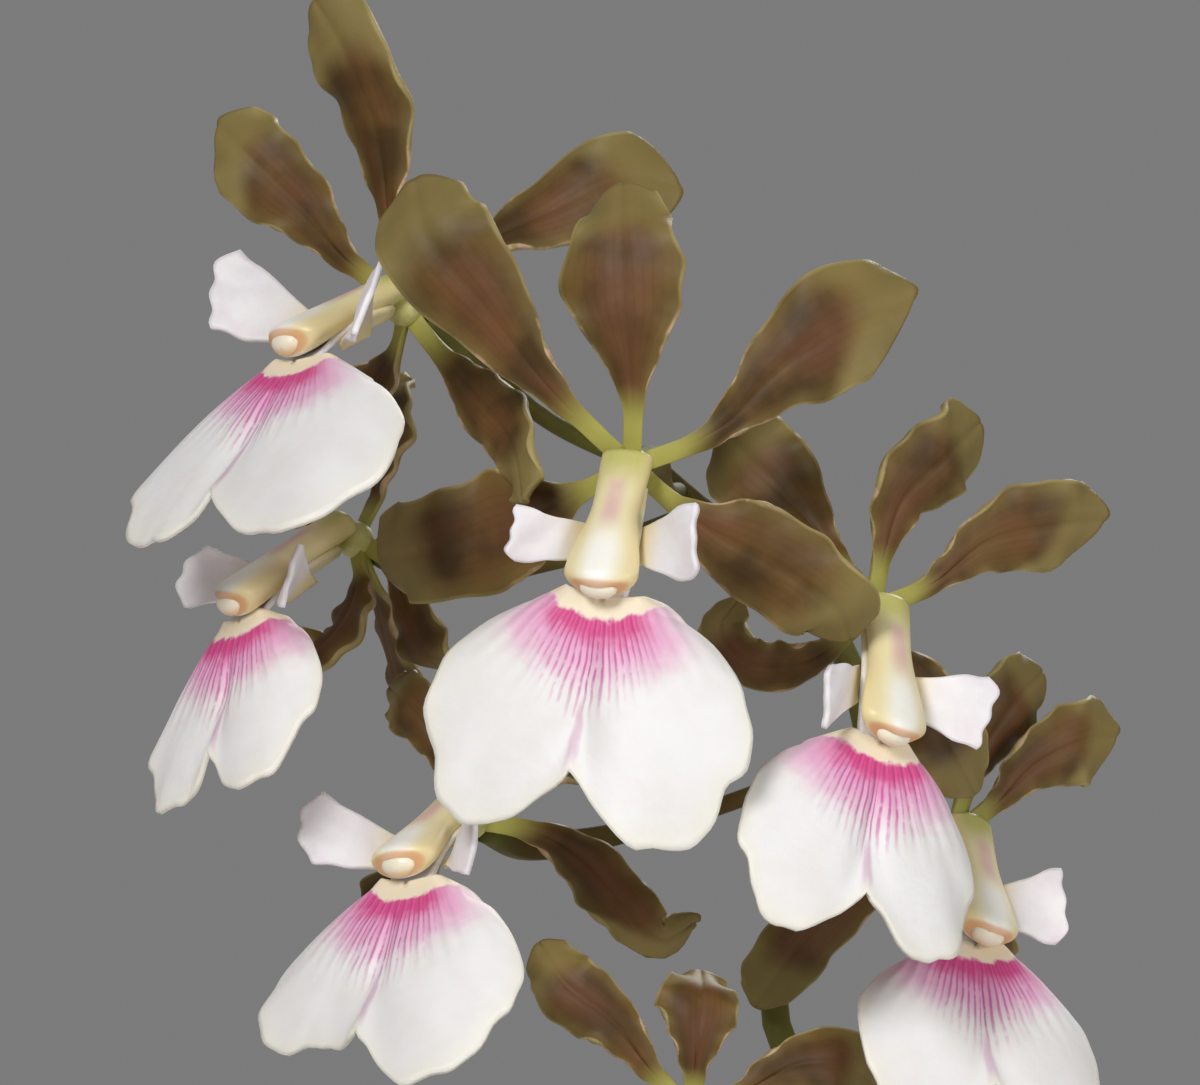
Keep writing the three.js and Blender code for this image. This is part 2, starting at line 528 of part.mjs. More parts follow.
// The bark mix: a plug that fills the pot, topped with sunken chunks, open where bulbs and roots stand
function barkMix() {
  const { wall, floor, edge, foot, neck, rim, height, band, sides } = POT;
  const inner = (r) => r - wall - GAP;
  const chunkRandom = draw(11);
  const atTop = lerp(neck, rim, (BARK.top - (height - band)) / band);
  const bottom = floor + GAP;
  const profile = [[0, bottom], [inner(foot) - edge - GAP, bottom], [inner(foot), bottom + edge],
    [inner(neck), height - band - GAP], [inner(atTop), BARK.top], [0, BARK.top]];
  const plug = new THREE.LatheGeometry(profile.map(([r, z]) => new THREE.Vector2(r, z)), sides);
  const parts = [solid(plug.rotateX(Math.PI / 2))];
  for (let i = 0; i < BARK.chunks; i++) {
    const ring = Math.sqrt((i + 0.5) / BARK.chunks);
    const angle = i * Math.PI * (3 - Math.sqrt(5));
    const reach = ring * (inner(neck) - 0.6 * BARK.size);
    const size = BARK.size * lerp(0.7, 1.15, chunkRandom());
    const chunk = new THREE.BoxGeometry(size, 0.7 * size, 0.5 * size);
    chunk.rotateX(lerp(-BARK.tilt, BARK.tilt, chunkRandom()));
    chunk.rotateY(lerp(-BARK.tilt, BARK.tilt, chunkRandom()));
    chunk.rotateZ(2 * Math.PI * chunkRandom());
    const rise = lerp(-BARK.sunk, 0, chunkRandom());
    parts.push(solid(chunk.translate(reach * Math.cos(angle), reach * Math.sin(angle), BARK.top + rise)));
  }
  const room = join([
    rhizomeShape(GAP),
    ...BULBS.map((bulb) => bulbShape(bulb, GAP)),
    ...ROOTS.map((root) => rootShape(root, GAP)),
  ].map(solid));
  return piece('bark_mix', largest(join(parts).subtract(room)), BARK_BROWN);
}

// A strap leaf: it leaves the top of its bulb folded, opens out and arches over to a pointed tip.
// The arch runs out and falls by powers of the way along.
const ARCH = { parts: [0, 0.15, 0.35, 0.55, 0.78, 1], outward: 1.7, falling: 3 };
const FOLD = { foot: 0.62, open: 0.22, end: 0.5 }; // rise of the edges over the midrib, per half width
const POINT = 0.9; // part of the width lost at the tip
function leaf({ bulb, angle, reach, rise, droop }, index) {
  const away = new THREE.Vector3(Math.cos(degToRad(angle)), Math.sin(degToRad(angle)), 0);
  const root = bulbTip(BULBS[bulb]).addScaledVector(away, LEAF.apart).addScaledVector(UP, GAP + LEAF.root);
  const route = ARCH.parts.map((part) => root.clone()
    .addScaledVector(away, reach * part ** ARCH.outward)
    .addScaledVector(UP, rise * (part - droop * part ** ARCH.falling)));
  const line = spine(route, away.clone().negate());
  const surface = (s, v) => {
    const { middle, normal, side } = line(s);
    const opened = lerp(LEAF.foot, LEAF.halfWidth, smoothstep(s, 0, LEAF.open));
    const past = Math.max(0, (s - LEAF.narrow) / (1 - LEAF.narrow));
    const width = opened * (1 - POINT * past * past);
    const fold = lerp(FOLD.foot, FOLD.open, smoothstep(s, 0, FOLD.end)) * Math.abs(v) * width;
    return middle.addScaledVector(side, v * width).addScaledVector(normal, fold);
  };
  return piece(`leaf_${index + 1}`, solid(sheet(surface, LEAF.thickness, 8, 4)), LEAF_GREEN);
}

// The flower stalk: it rises from the third bulb and sends a thin stalk with a swollen end to each bloom
function flowerStalk() {
  const curve = new THREE.CatmullRomCurve3(STALK_ROUTE.map(point));
  const parts = [cane(STALK_ROUTE, (s) => lerp(STEM.radius, STEM.top, s), 28, 7)];
  for (const [name, { heart, turn }] of Object.entries(BLOOMS)) {
    const { forward } = facingOf(turn);
    const start = curve.getPointAt(1 - JOINTS[name] / curve.getLength());
    const end = point(heart).addScaledVector(forward, -HUB - GAP);
    const neck = end.clone().addScaledVector(forward, -PEDICEL.straight);
    const middle = start.clone().lerp(neck, 0.55).addScaledVector(UP, -PEDICEL.sag);
    const route = [start, middle, neck, end].map((p) => p.toArray());
    const swell = (s) => lerp(PEDICEL.radius, PEDICEL.ovary, smoothstep(s, 0.45, 0.85));
    parts.push(cane(route, swell, 7, 6));
  }
  return piece('flower_stalk', join(parts.map(solid)), STALK_GREEN);
}

const plant = new THREE.Group();
plant.add(pot(), barkMix(), rhizome(), flowerStalk());
BULBS.forEach((bulb, i) => plant.add(piece(`pseudobulb_${i + 1}`, solid(bulbShape(bulb, 0)), BULB_GREEN)));
LEAVES.forEach((spec, i) => plant.add(leaf(spec, i)));
for (const [name, spec] of Object.entries(BLOOMS)) plant.add(bloom(name, spec));

export default plant;
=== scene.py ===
import math
import random

import bmesh
import bpy
from mathutils import Matrix, Vector
from mathutils.geometry import interpolate_bezier


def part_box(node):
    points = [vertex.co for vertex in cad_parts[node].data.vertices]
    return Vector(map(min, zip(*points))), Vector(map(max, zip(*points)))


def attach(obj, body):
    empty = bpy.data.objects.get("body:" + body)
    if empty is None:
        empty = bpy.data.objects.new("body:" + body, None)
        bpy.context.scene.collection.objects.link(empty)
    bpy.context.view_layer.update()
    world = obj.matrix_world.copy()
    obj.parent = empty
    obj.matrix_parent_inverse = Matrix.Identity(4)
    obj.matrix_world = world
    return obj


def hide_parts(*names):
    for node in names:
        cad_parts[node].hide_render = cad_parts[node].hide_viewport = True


# A potted Encyclia randii in flower. Lengths are millimetres, and become metres where a mesh gets its points.
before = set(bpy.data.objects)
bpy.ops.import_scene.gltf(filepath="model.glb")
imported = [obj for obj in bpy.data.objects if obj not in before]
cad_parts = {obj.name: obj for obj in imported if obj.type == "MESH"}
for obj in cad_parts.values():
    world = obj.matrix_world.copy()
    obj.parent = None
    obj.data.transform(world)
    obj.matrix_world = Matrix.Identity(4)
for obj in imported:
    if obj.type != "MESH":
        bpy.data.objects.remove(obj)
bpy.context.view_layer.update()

# The studio: a plain pale floor, a plain grey surround and soft lamps.
# The camera stands level with the flower cluster and looks along +Y, and its frame is as wide there as the
# photograph's.
MM = 0.001
FRAME_WIDTH = 120
FRAME_CENTRE = Vector((-3, 0, 438.75))
CAMERA_AWAY = 1500
SENSOR = 36
FLOOR_RADIUS = 4000
SURROUND = 0.2


def tint(code):
    """A colour as it is seen, such as "7a5528", as shader values."""
    channels = [int(code[i:i + 2], 16) / 255 for i in (0, 2, 4)]
    return tuple(c / 12.92 if c < 0.04045 else ((c + 0.055) / 1.055) ** 2.4 for c in channels) + (1,)


class Level:
    """A number that changes over a surface. Arithmetic on it adds Math nodes to its finish."""

    def __init__(self, finish, socket):
        self.finish = finish
        self.socket = socket

    def maths(self, operation, *values):
        return self.finish.node("ShaderNodeMath", {"operation": operation}, dict(enumerate(values)))

    def __add__(self, other):
        return self.maths("ADD", self, other)

    def __sub__(self, other):
        return self.maths("SUBTRACT", self, other)

    def __rsub__(self, other):
        return self.maths("SUBTRACT", other, self)

    def __mul__(self, other):
        return self.maths("MULTIPLY", self, other)

    def __truediv__(self, other):
        return self.maths("DIVIDE", self, other)

    def __abs__(self):
        return self.maths("ABSOLUTE", self)

    __radd__ = __add__
    __rmul__ = __mul__

    def wave(self):
        return self.maths("SINE", self)

    def rise(self, low, high):
        """0 below low, 1 above high, and a smooth rise between them."""
        span = {"Value": self, "From Min": low, "From Max": high}
        return self.finish.node("ShaderNodeMapRange", {"interpolation_type": "SMOOTHSTEP"}, span)


class Finish:
    """A material: its even values are set at once, and what changes over the surface is linked later."""

    def __init__(self, name, **even):
        self.material = bpy.data.materials.new(name)
        self.material.use_nodes = True
        self.tree = self.material.node_tree
        self.skin = self.tree.nodes["Principled BSDF"]
        for socket, value in even.items():
            self.skin.inputs[socket.replace("_", " ")].default_value = value

    def node(self, kind, settings=None, sockets=None, output=None):
        made = self.tree.nodes.new(kind)
        for name, value in (settings or {}).items():
            setattr(made, name, value)
        ready = [socket for socket in made.inputs if socket.enabled]
        for key, value in (sockets or {}).items():
            socket = ready[key] if isinstance(key, int) else next(s for s in ready if s.name == key)
            if isinstance(value, Level):
                self.tree.links.new(value.socket, socket)
            else:
                socket.default_value = value
        return Level(self, next(s for s in made.outputs if s.enabled and output in (None, s.name)))

    def place(self, stretch=(1, 1, 1)):
        spot = self.node("ShaderNodeTexCoord", output="Object")
        return self.node("ShaderNodeMapping", sockets={"Vector": spot, "Scale": stretch})

    def height(self):
        return self.node("ShaderNodeSeparateXYZ", sockets={"Vector": self.place()}, output="Z")

    def noise(self, size, detail=3, stretch=(1, 1, 1)):
        """Soft patches of about that size in millimetres."""
        sockets = {"Vector": self.place(stretch), "Scale": 1 / (size * MM), "Detail": detail}
        return self.node("ShaderNodeTexNoise", sockets=sockets)

    def mark(self, name):
        return self.node("ShaderNodeAttribute", {"attribute_name": name}, output="Fac")

    def blend(self, first, second, part):
        return self.node("ShaderNodeMix", {"data_type": "RGBA"}, {"Factor": part, "A": first, "B": second})

    def show(self, colour, roughness=None, relief=None, depth=0.1):
        """Links the colour, and any roughness and relief that are given. The depth is in millimetres."""
        self.tree.links.new(colour.socket, self.skin.inputs["Base Color"])
        if roughness is not None:
            self.tree.links.new(roughness.socket, self.skin.inputs["Roughness"])
        if relief is not None:
            bump = self.node("ShaderNodeBump", sockets={"Height": relief, "Distance": depth * MM})
            self.tree.links.new(bump.socket, self.skin.inputs["Normal"])
        return self.material


def placed(name, mesh, *materials):
    """A smooth piece at the origin with its place in its mesh."""
    for material in materials:
        mesh.materials.append(material)
    mesh.shade_smooth()
    thing = bpy.data.objects.new(name, mesh)
    bpy.context.scene.collection.objects.link(thing)
    return thing


def lamp(name, place, aim, size, power):
    light = bpy.data.lights.new(name, "AREA")
    light.shape = "DISK"
    light.size = size * MM
    light.energy = power
    holder = bpy.data.objects.new(name, light)
    holder.location = Vector(place) * MM
    holder.rotation_euler = (Vector(aim) - Vector(place)).to_track_quat("-Z", "Y").to_euler()
    holder.visible_camera = False
    bpy.context.scene.collection.objects.link(holder)


lens = bpy.data.cameras.new("portrait")
lens.sensor_width = SENSOR
lens.lens = SENSOR * CAMERA_AWAY / FRAME_WIDTH
camera = bpy.data.objects.new("portrait", lens)
camera.location = (FRAME_CENTRE - Vector((0, CAMERA_AWAY, 0))) * MM
camera.rotation_euler = (math.radians(90), 0, 0)
bpy.context.scene.collection.objects.link(camera)
bpy.context.scene.camera = camera
bpy.context.scene.view_settings.view_transform = "Standard"

world = bpy.data.worlds.new("surround")
world.use_nodes = True
world.node_tree.nodes["Background"].inputs["Color"].default_value = (SURROUND, SURROUND, SURROUND, 1)
bpy.context.scene.world = world

CLUSTER = (0, 0, 400)
lamp("key_lamp", (-500, -1100, 1150), CLUSTER, 500, 12)
lamp("fill_lamp", (900, -900, 500), CLUSTER, 700, 5.5)
lamp("back_lamp", (300, 900, 1000), CLUSTER, 600, 6)

floor_finish = Finish("pale_floor", Roughness=0.8)
floor_patches = floor_finish.noise(40).rise(0.3, 0.7)
pale_floor = floor_finish.show(floor_finish.blend(tint("dad8d4"), tint("dddbd7"), floor_patches))
bm = bmesh.new()
bmesh.ops.create_circle(bm, cap_ends=True, segments=96, radius=FLOOR_RADIUS * MM)
floor_mesh = bpy.data.meshes.new("floor")
bm.to_mesh(floor_mesh)
bm.free()
placed("floor", floor_mesh, pale_floor)

# The pot is turned from red clay and fired without a glaze. A thicker band strengthens its rim, and its floor
# has three drainage holes. Fine turning rings and patches of pale lime show on the wall.
POT_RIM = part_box("pot")[1].x / MM
POT_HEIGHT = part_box("pot")[1].z / MM
POT_NECK = 62
POT_FOOT = 44
POT_BAND = 23
POT_WALL = 6
POT_FLOOR = 8
POT_EDGE = 1.5
DRAIN_RADIUS = 5.5
DRAIN_CIRCLE = 19
DRAINS = 3
RINGS_APART = 1.9

clay = Finish("terracotta", Roughness=0.85)
rings = (clay.height() * (2 * math.pi / (RINGS_APART * MM)) + clay.noise(30) * 9).wave()
grain = clay.noise(0.7)
lime = clay.noise(22, 6).rise(0.52, 0.75) * clay.noise(2, 4).rise(0.3, 0.7)
fired = clay.blend(tint("b0633d"), tint("bf734b"), clay.noise(34, 4).rise(0.25, 0.75))
fired = clay.blend(fired, tint("9a5433"), grain.rise(0.6, 0.8) * 0.4)
fired = clay.blend(fired, tint("d2a98c"), lime * 0.4)
terracotta = clay.show(fired, clay.noise(9) * 0.2 + 0.72, rings * 0.25 + grain, 0.25)


def piece(name, bm, slot, nodes, *materials):
    """Closes a bmesh into a piece of the object, which stands for the named CAD nodes."""
    mesh = bpy.data.meshes.new(name)
    bm.to_mesh(mesh)
    bm.free()
    thing = placed(name, mesh, *materials)
    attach(thing, "root")
    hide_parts(*nodes)
    return thing


def turned(profile, steps):
    """A bmesh turned round the upright axis from (radius, height) corners."""
    bm = bmesh.new()
    corners = [bm.verts.new((radius * MM, 0, height * MM)) for radius, height in profile]
    line = [bm.edges.new(pair) for pair in zip(corners, corners[1:])]
    bmesh.ops.spin(bm, geom=corners + line, cent=(0, 0, 0), axis=(0, 0, 1), angle=2 * math.pi, steps=steps,
                   use_merge=True)
    bmesh.ops.remove_doubles(bm, verts=bm.verts, dist=0.01 * MM)
    bmesh.ops.recalc_face_normals(bm, faces=bm.faces)
    return bm


shoulder = POT_HEIGHT - POT_BAND
pot_profile = [
    (0, 0), (POT_FOOT - POT_EDGE, 0), (POT_FOOT, POT_EDGE), (POT_NECK, shoulder),
    (POT_RIM - POT_EDGE, shoulder + POT_EDGE), (POT_RIM, POT_HEIGHT - POT_EDGE),
    (POT_RIM - POT_EDGE, POT_HEIGHT), (POT_RIM - POT_WALL, POT_HEIGHT), (POT_NECK - POT_WALL, shoulder),
    (POT_FOOT - POT_WALL, POT_FLOOR + POT_EDGE), (POT_FOOT - POT_WALL - POT_EDGE, POT_FLOOR), (0, POT_FLOOR),
]
pot = piece("terracotta_pot", turned(pot_profile, 96), "terracotta", ["pot"], terracotta)
drains = bmesh.new()
for i in range(DRAINS):
    angle = 2 * math.pi * i / DRAINS + math.pi / 2
    place = Matrix.Translation(Vector((math.cos(angle), math.sin(angle), 0)) * DRAIN_CIRCLE * MM)
    bmesh.ops.create_cone(drains, cap_ends=True, segments=32, radius1=DRAIN_RADIUS * MM,
                          radius2=DRAIN_RADIUS * MM, depth=4 * POT_FLOOR * MM, matrix=place)
drain_mesh = bpy.data.meshes.new("drains")
drains.to_mesh(drain_mesh)
drains.free()
drain_cutter = placed("drains", drain_mesh)
cut = pot.modifiers.new("drains", "BOOLEAN")
cut.object = drain_cutter
bpy.context.view_layer.update()
pot.data = bpy.data.meshes.new_from_object(pot.evaluated_get(bpy.context.evaluated_depsgraph_get()))
pot.modifiers.clear()
bpy.data.objects.remove(drain_cutter)
edges = pot.modifiers.new("worn_edges", "BEVEL")
edges.width = 0.7 * MM
edges.segments = 3
edges.limit_method = "ANGLE"
edges.angle_limit = math.radians(25)

# The bark mix is coarse chips of pine bark, poured in round the bulbs. A plug of packed chips fills the pot
# below, and loose ones lie on top at every angle, dark brown with paler broken faces.
BARK_TOP = 102
CHIPS = 330
CHIP_SIZE = (4.5, 10)
CHIP_KINDS = 6
PLUG_GAP = 0.4

bark = Finish("bark", Roughness=0.9)
layers = (bark.noise(1.2, 4, (1, 1, 4)) * 14).wave()
chunks = bark.noise(9, 2).rise(0.35, 0.65)
brown = bark.blend(tint("3a2416"), tint("6e4a2e"), chunks)
brown = bark.blend(brown, tint("8f6a47"), bark.noise(3, 4).rise(0.55, 0.75) * 0.7)
bark_brown = bark.show(brown, bark.noise(3) * 0.3 + 0.65, layers * 0.5 + bark.noise(0.8, 5) * 2, 0.35)

inside = POT_NECK - POT_WALL - PLUG_GAP
dice = random.Random(11)
kinds = []
for i in range(CHIP_KINDS):
    chip = bmesh.new()
    bmesh.ops.create_cube(chip, size=1)
    bmesh.ops.bevel(chip, geom=chip.edges[:], offset=0.2, offset_type="OFFSET", affect="EDGES", segments=1,
                    profile=0.5, material=-1)
    for vert in chip.verts:
        vert.co *= dice.uniform(0.78, 1.12)
    kind = bpy.data.meshes.new("chip")
    chip.to_mesh(kind)
    chip.free()
    kinds.append(kind)

plug_foot = POT_FLOOR + PLUG_GAP
bm = turned([(0, plug_foot), (POT_FOOT - POT_WALL - 2.5, plug_foot), (inside, shoulder - PLUG_GAP),
             (inside + 3, BARK_TOP - 3), (0, BARK_TOP - 1.5)], 48)
for i in range(CHIPS):
    reach = math.sqrt((i + 0.5) / CHIPS) * (inside - 2)
    angle = i * math.pi * (3 - math.sqrt(5))
    size = dice.uniform(*CHIP_SIZE)
    turn = Matrix.Rotation(dice.uniform(-0.7, 0.7), 4, "X") @ Matrix.Rotation(dice.uniform(-0.7, 0.7), 4, "Y")
    rise = BARK_TOP + dice.uniform(-3, 1.5)
    spot = Matrix.Translation(Vector((reach * math.cos(angle), reach * math.sin(angle), rise)) * MM)
    spin = Matrix.Rotation(dice.uniform(0, 2 * math.pi), 4, "Z")
    scale = Matrix.Diagonal(Vector((size, size * dice.uniform(0.5, 0.9), size * 0.42, 1000)) * MM)
    old = set(bm.verts)
    bm.from_mesh(dice.choice(kinds))
    fresh = [vert for vert in bm.verts if vert not in old]
    bmesh.ops.transform(bm, matrix=spot @ spin @ turn @ scale, verts=fresh)
piece("bark_chips", bm, "bark", ["bark_mix"], bark_brown)

# The rhizome is the creeping stem that joins the bulbs. It lies in the surface of the bark, wrapped in dry
# scales, and sends out thick roots with a spongy silver-white skin, which cross the chips and dive into them.
BULB_FOOT = 101
BULBS = [(-39, 3, 46, 11, -9), (-13, -3, 56, 12.5, -5), (14, 2, 63, 13.5, 1), (40, -2, 55, 11.5, 9)]
RHIZOME_RADIUS = 4.5
RHIZOME_ENDS = ((-48, 2, 96), (49, -3, 96))
ROOTS = [(-34, 238, 22), (-26, 118, 30), (-1, 262, 42), (2, 80, 42), (27, 298, 28), (28, 60, 28)]
ROOT_RADIUS = 1.4
ROOT_SWAY = 1.5
ROOT_RISE = [(0, -4), (0.25, 2.2), (0.55, 1), (0.8, -1), (1, -9)]
GAP = 0.35
FINE = 48

velamen = Finish("root_skin", Roughness=0.8)
skin = velamen.blend(tint("a9a48c"), tint("d3cfbd"), velamen.noise(3, 4).rise(0.3, 0.7))
skin = velamen.blend(skin, tint("7d7a52"), velamen.noise(9).rise(0.55, 0.8) * 0.6)
root_white = velamen.show(skin, velamen.noise(2) * 0.2 + 0.65, velamen.noise(0.5, 3), 0.15)


def smooth_route(corners, count):
    """count + 1 evenly spaced points of a centripetal curve through the corners."""
    corners = [Vector(corner) for corner in corners]
    padded = [2 * corners[0] - corners[1], *corners, 2 * corners[-1] - corners[-2]]
    dense = []
    for before, start, end, after in zip(padded, padded[1:], padded[2:], padded[3:]):
        first = (start - before).length ** 0.5
        own = (end - start).length ** 0.5
        last = (after - end).length ** 0.5
        leave = ((start - before) / first - (end - before) / (first + own) + (end - start) / own) * own
        arrive = ((end - start) / own - (after - start) / (own + last) + (after - end) / last) * own
        dense += interpolate_bezier(start, start + leave / 3, end - arrive / 3, end, 24)[:-1]
    dense.append(corners[-1])
    reached = [0]
    for a, b in zip(dense, dense[1:]):
        reached.append(reached[-1] + (b - a).length)
    points = []
    at = 1
    for i in range(count + 1):
        wanted = reached[-1] * i / count
        while reached[at] < wanted and at < len(dense) - 1:
            at += 1
        part = (wanted - reached[at - 1]) / (reached[at] - reached[at - 1])
        points.append(dense[at - 1].lerp(dense[at], part))
    return points


def spine(corners, facing, roll=0):
    """The line of a blade or tube as a function of the way along: its middle, the way it faces and its side."""
    points = smooth_route(corners, FINE)
    carried = Vector(facing)
    stations = []
    for i, middle in enumerate(points):
        tangent = (points[min(i + 1, FINE)] - points[max(i - 1, 0)]).normalized()
        carried = (carried - tangent * carried.dot(tangent)).normalized()
        normal = Matrix.Rotation(math.radians(roll) * i / FINE, 3, tangent) @ carried
        stations.append((middle, normal, tangent.cross(normal)))

    def at(s):
        low = min(int(s * FINE), FINE - 1)
        part = s * FINE - low
        return [a.lerp(b, part) for a, b in zip(stations[low], stations[low + 1])]
    return at


def smoothstep(value, low, high):
    part = min(max((value - low) / (high - low), 0), 1)
    return part * part * (3 - 2 * part)


def marked():
    """A bmesh whose points carry how far along and how far across their blade or tube they lie."""
    bm = bmesh.new()
    bm.verts.layers.float.new("along")
    bm.verts.layers.float.new("across")
    return bm


def shaped(bm, verts, where, material):
    """Moves fresh points to their places. where(point) gives the place, the way along and the way across."""
    along = bm.verts.layers.float["along"]
    across = bm.verts.layers.float["across"]
    for vert in verts:
        vert.co, vert[along], vert[across] = where(vert.co)
        vert.co *= MM
    for face in {face for vert in verts for face in vert.link_faces}:
        face.material_index = material


def tube(bm, skin_at, steps, sides, material=0):
    """Adds a closed tube. skin_at(s, angle) is the place of its skin."""
    old = set(bm.verts)
    ring = bmesh.ops.create_circle(bm, segments=sides, radius=1)["verts"]
    loop = list({edge for vert in ring for edge in vert.link_edges})
    bmesh.ops.spin(bm, geom=ring + loop, cent=(0, 0, 0), axis=(0, 0, 1), dvec=(0, 0, 1 / steps), angle=0,
                   steps=steps)
    fresh = [vert for vert in bm.verts if vert not in old]
    ends = {edge for vert in fresh for edge in vert.link_edges if edge.is_boundary}
    bmesh.ops.holes_fill(bm, edges=list(ends), sides=0)

    def where(point):
        s = min(max(point.z, 0), 1)
        angle = math.atan2(point.y, point.x)
        return skin_at(s, angle), s, math.cos(angle)
    shaped(bm, fresh, where, material)
    bmesh.ops.recalc_face_normals(bm, faces=list({face for vert in fresh for face in vert.link_faces}))


def cane(bm, line, radius, steps, sides, material=0):
    """Adds a round tube along a line. radius(s, angle) is how far its skin lies from the line."""
    def skin_at(s, angle):
        middle, normal, side = line(s)
        return middle + (side * math.cos(angle) + normal * math.sin(angle)) * radius(s, angle)
    tube(bm, skin_at, steps, sides, material)


under = BULB_FOOT - RHIZOME_RADIUS - 2 * GAP
rhizome_route = [RHIZOME_ENDS[0], *[(x, y, under) for x, y, *_ in BULBS], RHIZOME_ENDS[1]]
bm = marked()
cane(bm, spine(rhizome_route, (0, 0, 1)), lambda s, angle: RHIZOME_RADIUS * (1 - 0.1 * (s * 18 % 1)), 72, 20)
for x, angle, length in ROOTS:
    away = Vector((math.cos(math.radians(angle)), math.sin(math.radians(angle))))
    root_route = []
    for i, (part, rise) in enumerate(ROOT_RISE):
        sway = i % 2 * ROOT_SWAY
        root_route.append((x + away.x * length * part + sway, away.y * length * part - sway, BARK_TOP + rise))
    cane(bm, spine(root_route, (0, 0, 1)),
         lambda s, a: ROOT_RADIUS * (1 - 0.3 * s) * (1 + 0.05 * math.sin(31 * s + 2 * a)), 40, 14)
piece("roots_and_rhizome", bm, "roots", ["rhizome_and_roots"], root_white)

# The pseudobulbs are the plant's swollen water stores, firm green stems with a waxy skin and low ridges.
# They grow from the rhizome one after another, and thin dry sheaths still wrap their feet.
BULB_TOP = 4.6
BULB_RINGS = (0.3, 0.62, 0.93)
RING_HALF = 0.012
SHEATH_TOP = 0.36

wax = Finish("bulb_skin", Roughness=0.42)
ribs = wax.noise(2.2, 3, (1, 1, 0.08))
green = wax.blend(tint("6f8238"), tint("97a552"), ribs.rise(0.35, 0.65))
green = wax.blend(green, tint("b3ab5c"), wax.noise(16).rise(0.5, 0.8) * 0.6)
green = wax.blend(green, tint("5d4f2c"), wax.noise(1.1, 2).rise(0.68, 0.76) * 0.6)
# the top ring of each bulb is darker and duller, where the leaves leave it
darker_top = wax.mark("along").rise(0.955, 0.985)
green = wax.blend(green, tint("5f5a30"), darker_top * 0.85)
bulb_green = wax.show(green, wax.noise(6) * 0.2 + 0.32 + darker_top * 0.4, ribs, 0.8)
husk = Finish("dry_sheath", Roughness=0.7)
fibres = husk.noise(0.8, 3, (1, 1, 0.06))
straw = husk.blend(tint("8c7a55"), tint("d0c4a2"), fibres.rise(0.3, 0.7))
dry_straw = husk.show(husk.blend(straw, tint("6b5635"), husk.mark("along").rise(0.8, 1)), None, fibres, 0.4)


def bulb_tip(x, y, height, radius, lean):
    angle = math.radians(lean)
    return Vector((x + height * math.sin(angle), y, BULB_FOOT + height * math.cos(angle)))


for number, bulb in enumerate(BULBS, 1):
    x, y, height, widest, lean = bulb
    foot = Vector((x, y, BULB_FOOT))
    tip = bulb_tip(*bulb)
    side = Vector((math.cos(math.radians(lean)), 0, -math.sin(math.radians(lean))))
    phase = 1.7 * number

    def bulb_skin(s, angle, proud=0):
        radius = BULB_TOP + (widest - BULB_TOP) * math.sin(math.pi * s ** 0.72) ** 0.8
        ridge = 0.022 * math.sin(7 * angle + phase) + 0.012 * math.sin(12 * angle - phase)
        ring = 0.03 * sum(math.exp(-((s - at) / RING_HALF) ** 2) for at in BULB_RINGS)
        radius = radius * (1 + ridge * math.sin(math.pi * s) + ring) + proud
        return foot.lerp(tip, s) + side * radius * math.cos(angle) + Vector((0, radius * math.sin(angle), 0))

    def sheath_skin(s, angle):
        ragged = SHEATH_TOP + 0.09 * math.sin(angle + phase)
        ragged += 0.025 * math.sin(9 * angle) + 0.012 * math.sin(23 * angle)
        return bulb_skin(max(0.02, ragged * s), angle, 0.25 + 0.5 * s * s)

    bm = marked()
    tube(bm, bulb_skin, 56, 64)
    tube(bm, sheath_skin, 16, 96, 1)
    piece(f"bulb_{number}", bm, "bulb", [f"pseudobulb_{number}"], bulb_green, dry_straw)

# The leaves are leathery straps. Each leaves the top of its bulb folded round the midrib, opens out and arches
# over to a blunt point, glossy dark green above with fine lengthwise veins and paler beneath.
LEAVES = [(0, 168, 78, 150, 0.42), (1, 115, 74, 200, 0.36), (1, 245, 92, 175, 0.45), (2, 95, 84, 212, 0.38),
          (2, 275, 86, 190, 0.42), (3, 65, 96, 172, 0.44), (3, 298, 70, 160, 0.32)]
LEAF_THICK = 1.2
LEAF_HALF = 10.5
LEAF_FOOT = 2.4
LEAF_APART = 3.4
LEAF_ABOVE = 0.5
LEAF_OPENS = 0.35
LEAF_NARROWS = 0.55
LEAF_PARTS = (0, 0.15, 0.35, 0.55, 0.78, 1)

cuticle = Finish("leaf_skin", Roughness=0.4)
leaf_across = cuticle.mark("across")
leaf_along = cuticle.mark("along")
veins = (leaf_across * 95).wave()
patch = cuticle.noise(14, 4).rise(0.3, 0.7)
blade_green = cuticle.blend(tint("3f6a2c"), tint("5f8a3e"), patch)
blade_green = cuticle.blend(blade_green, tint("7ea054"), veins.rise(0.2, 1) * 0.25)
blade_green = cuticle.blend(blade_green, tint("8fb062"), 1 - abs(leaf_across).rise(0.0, 0.1))
blade_green = cuticle.blend(blade_green, tint("9aa04e"), abs(leaf_across).rise(0.88, 1) * 0.7)
blade_green = cuticle.blend(blade_green, tint("a98f4e"), leaf_along.rise(0.965, 1))
blade_green = cuticle.blend(blade_green, tint("93a45c"), 1 - leaf_along.rise(0.0, 0.14))
leaf_green = cuticle.show(blade_green, patch * 0.12 + 0.34, veins * 0.5 + cuticle.noise(1.5), 0.12)


def blade(bm, surface, along, across, material=0):
    """Adds a sheet. surface(s, v) is its middle, with s from 0 to 1 along and v from -1 to 1 across."""
    grid = bmesh.ops.create_grid(bm, x_segments=across, y_segments=along, size=1)

    def where(point):
        s = (point.y + 1) / 2
        return surface(s, point.x), s, point.x
    shaped(bm, grid["verts"], where, material)


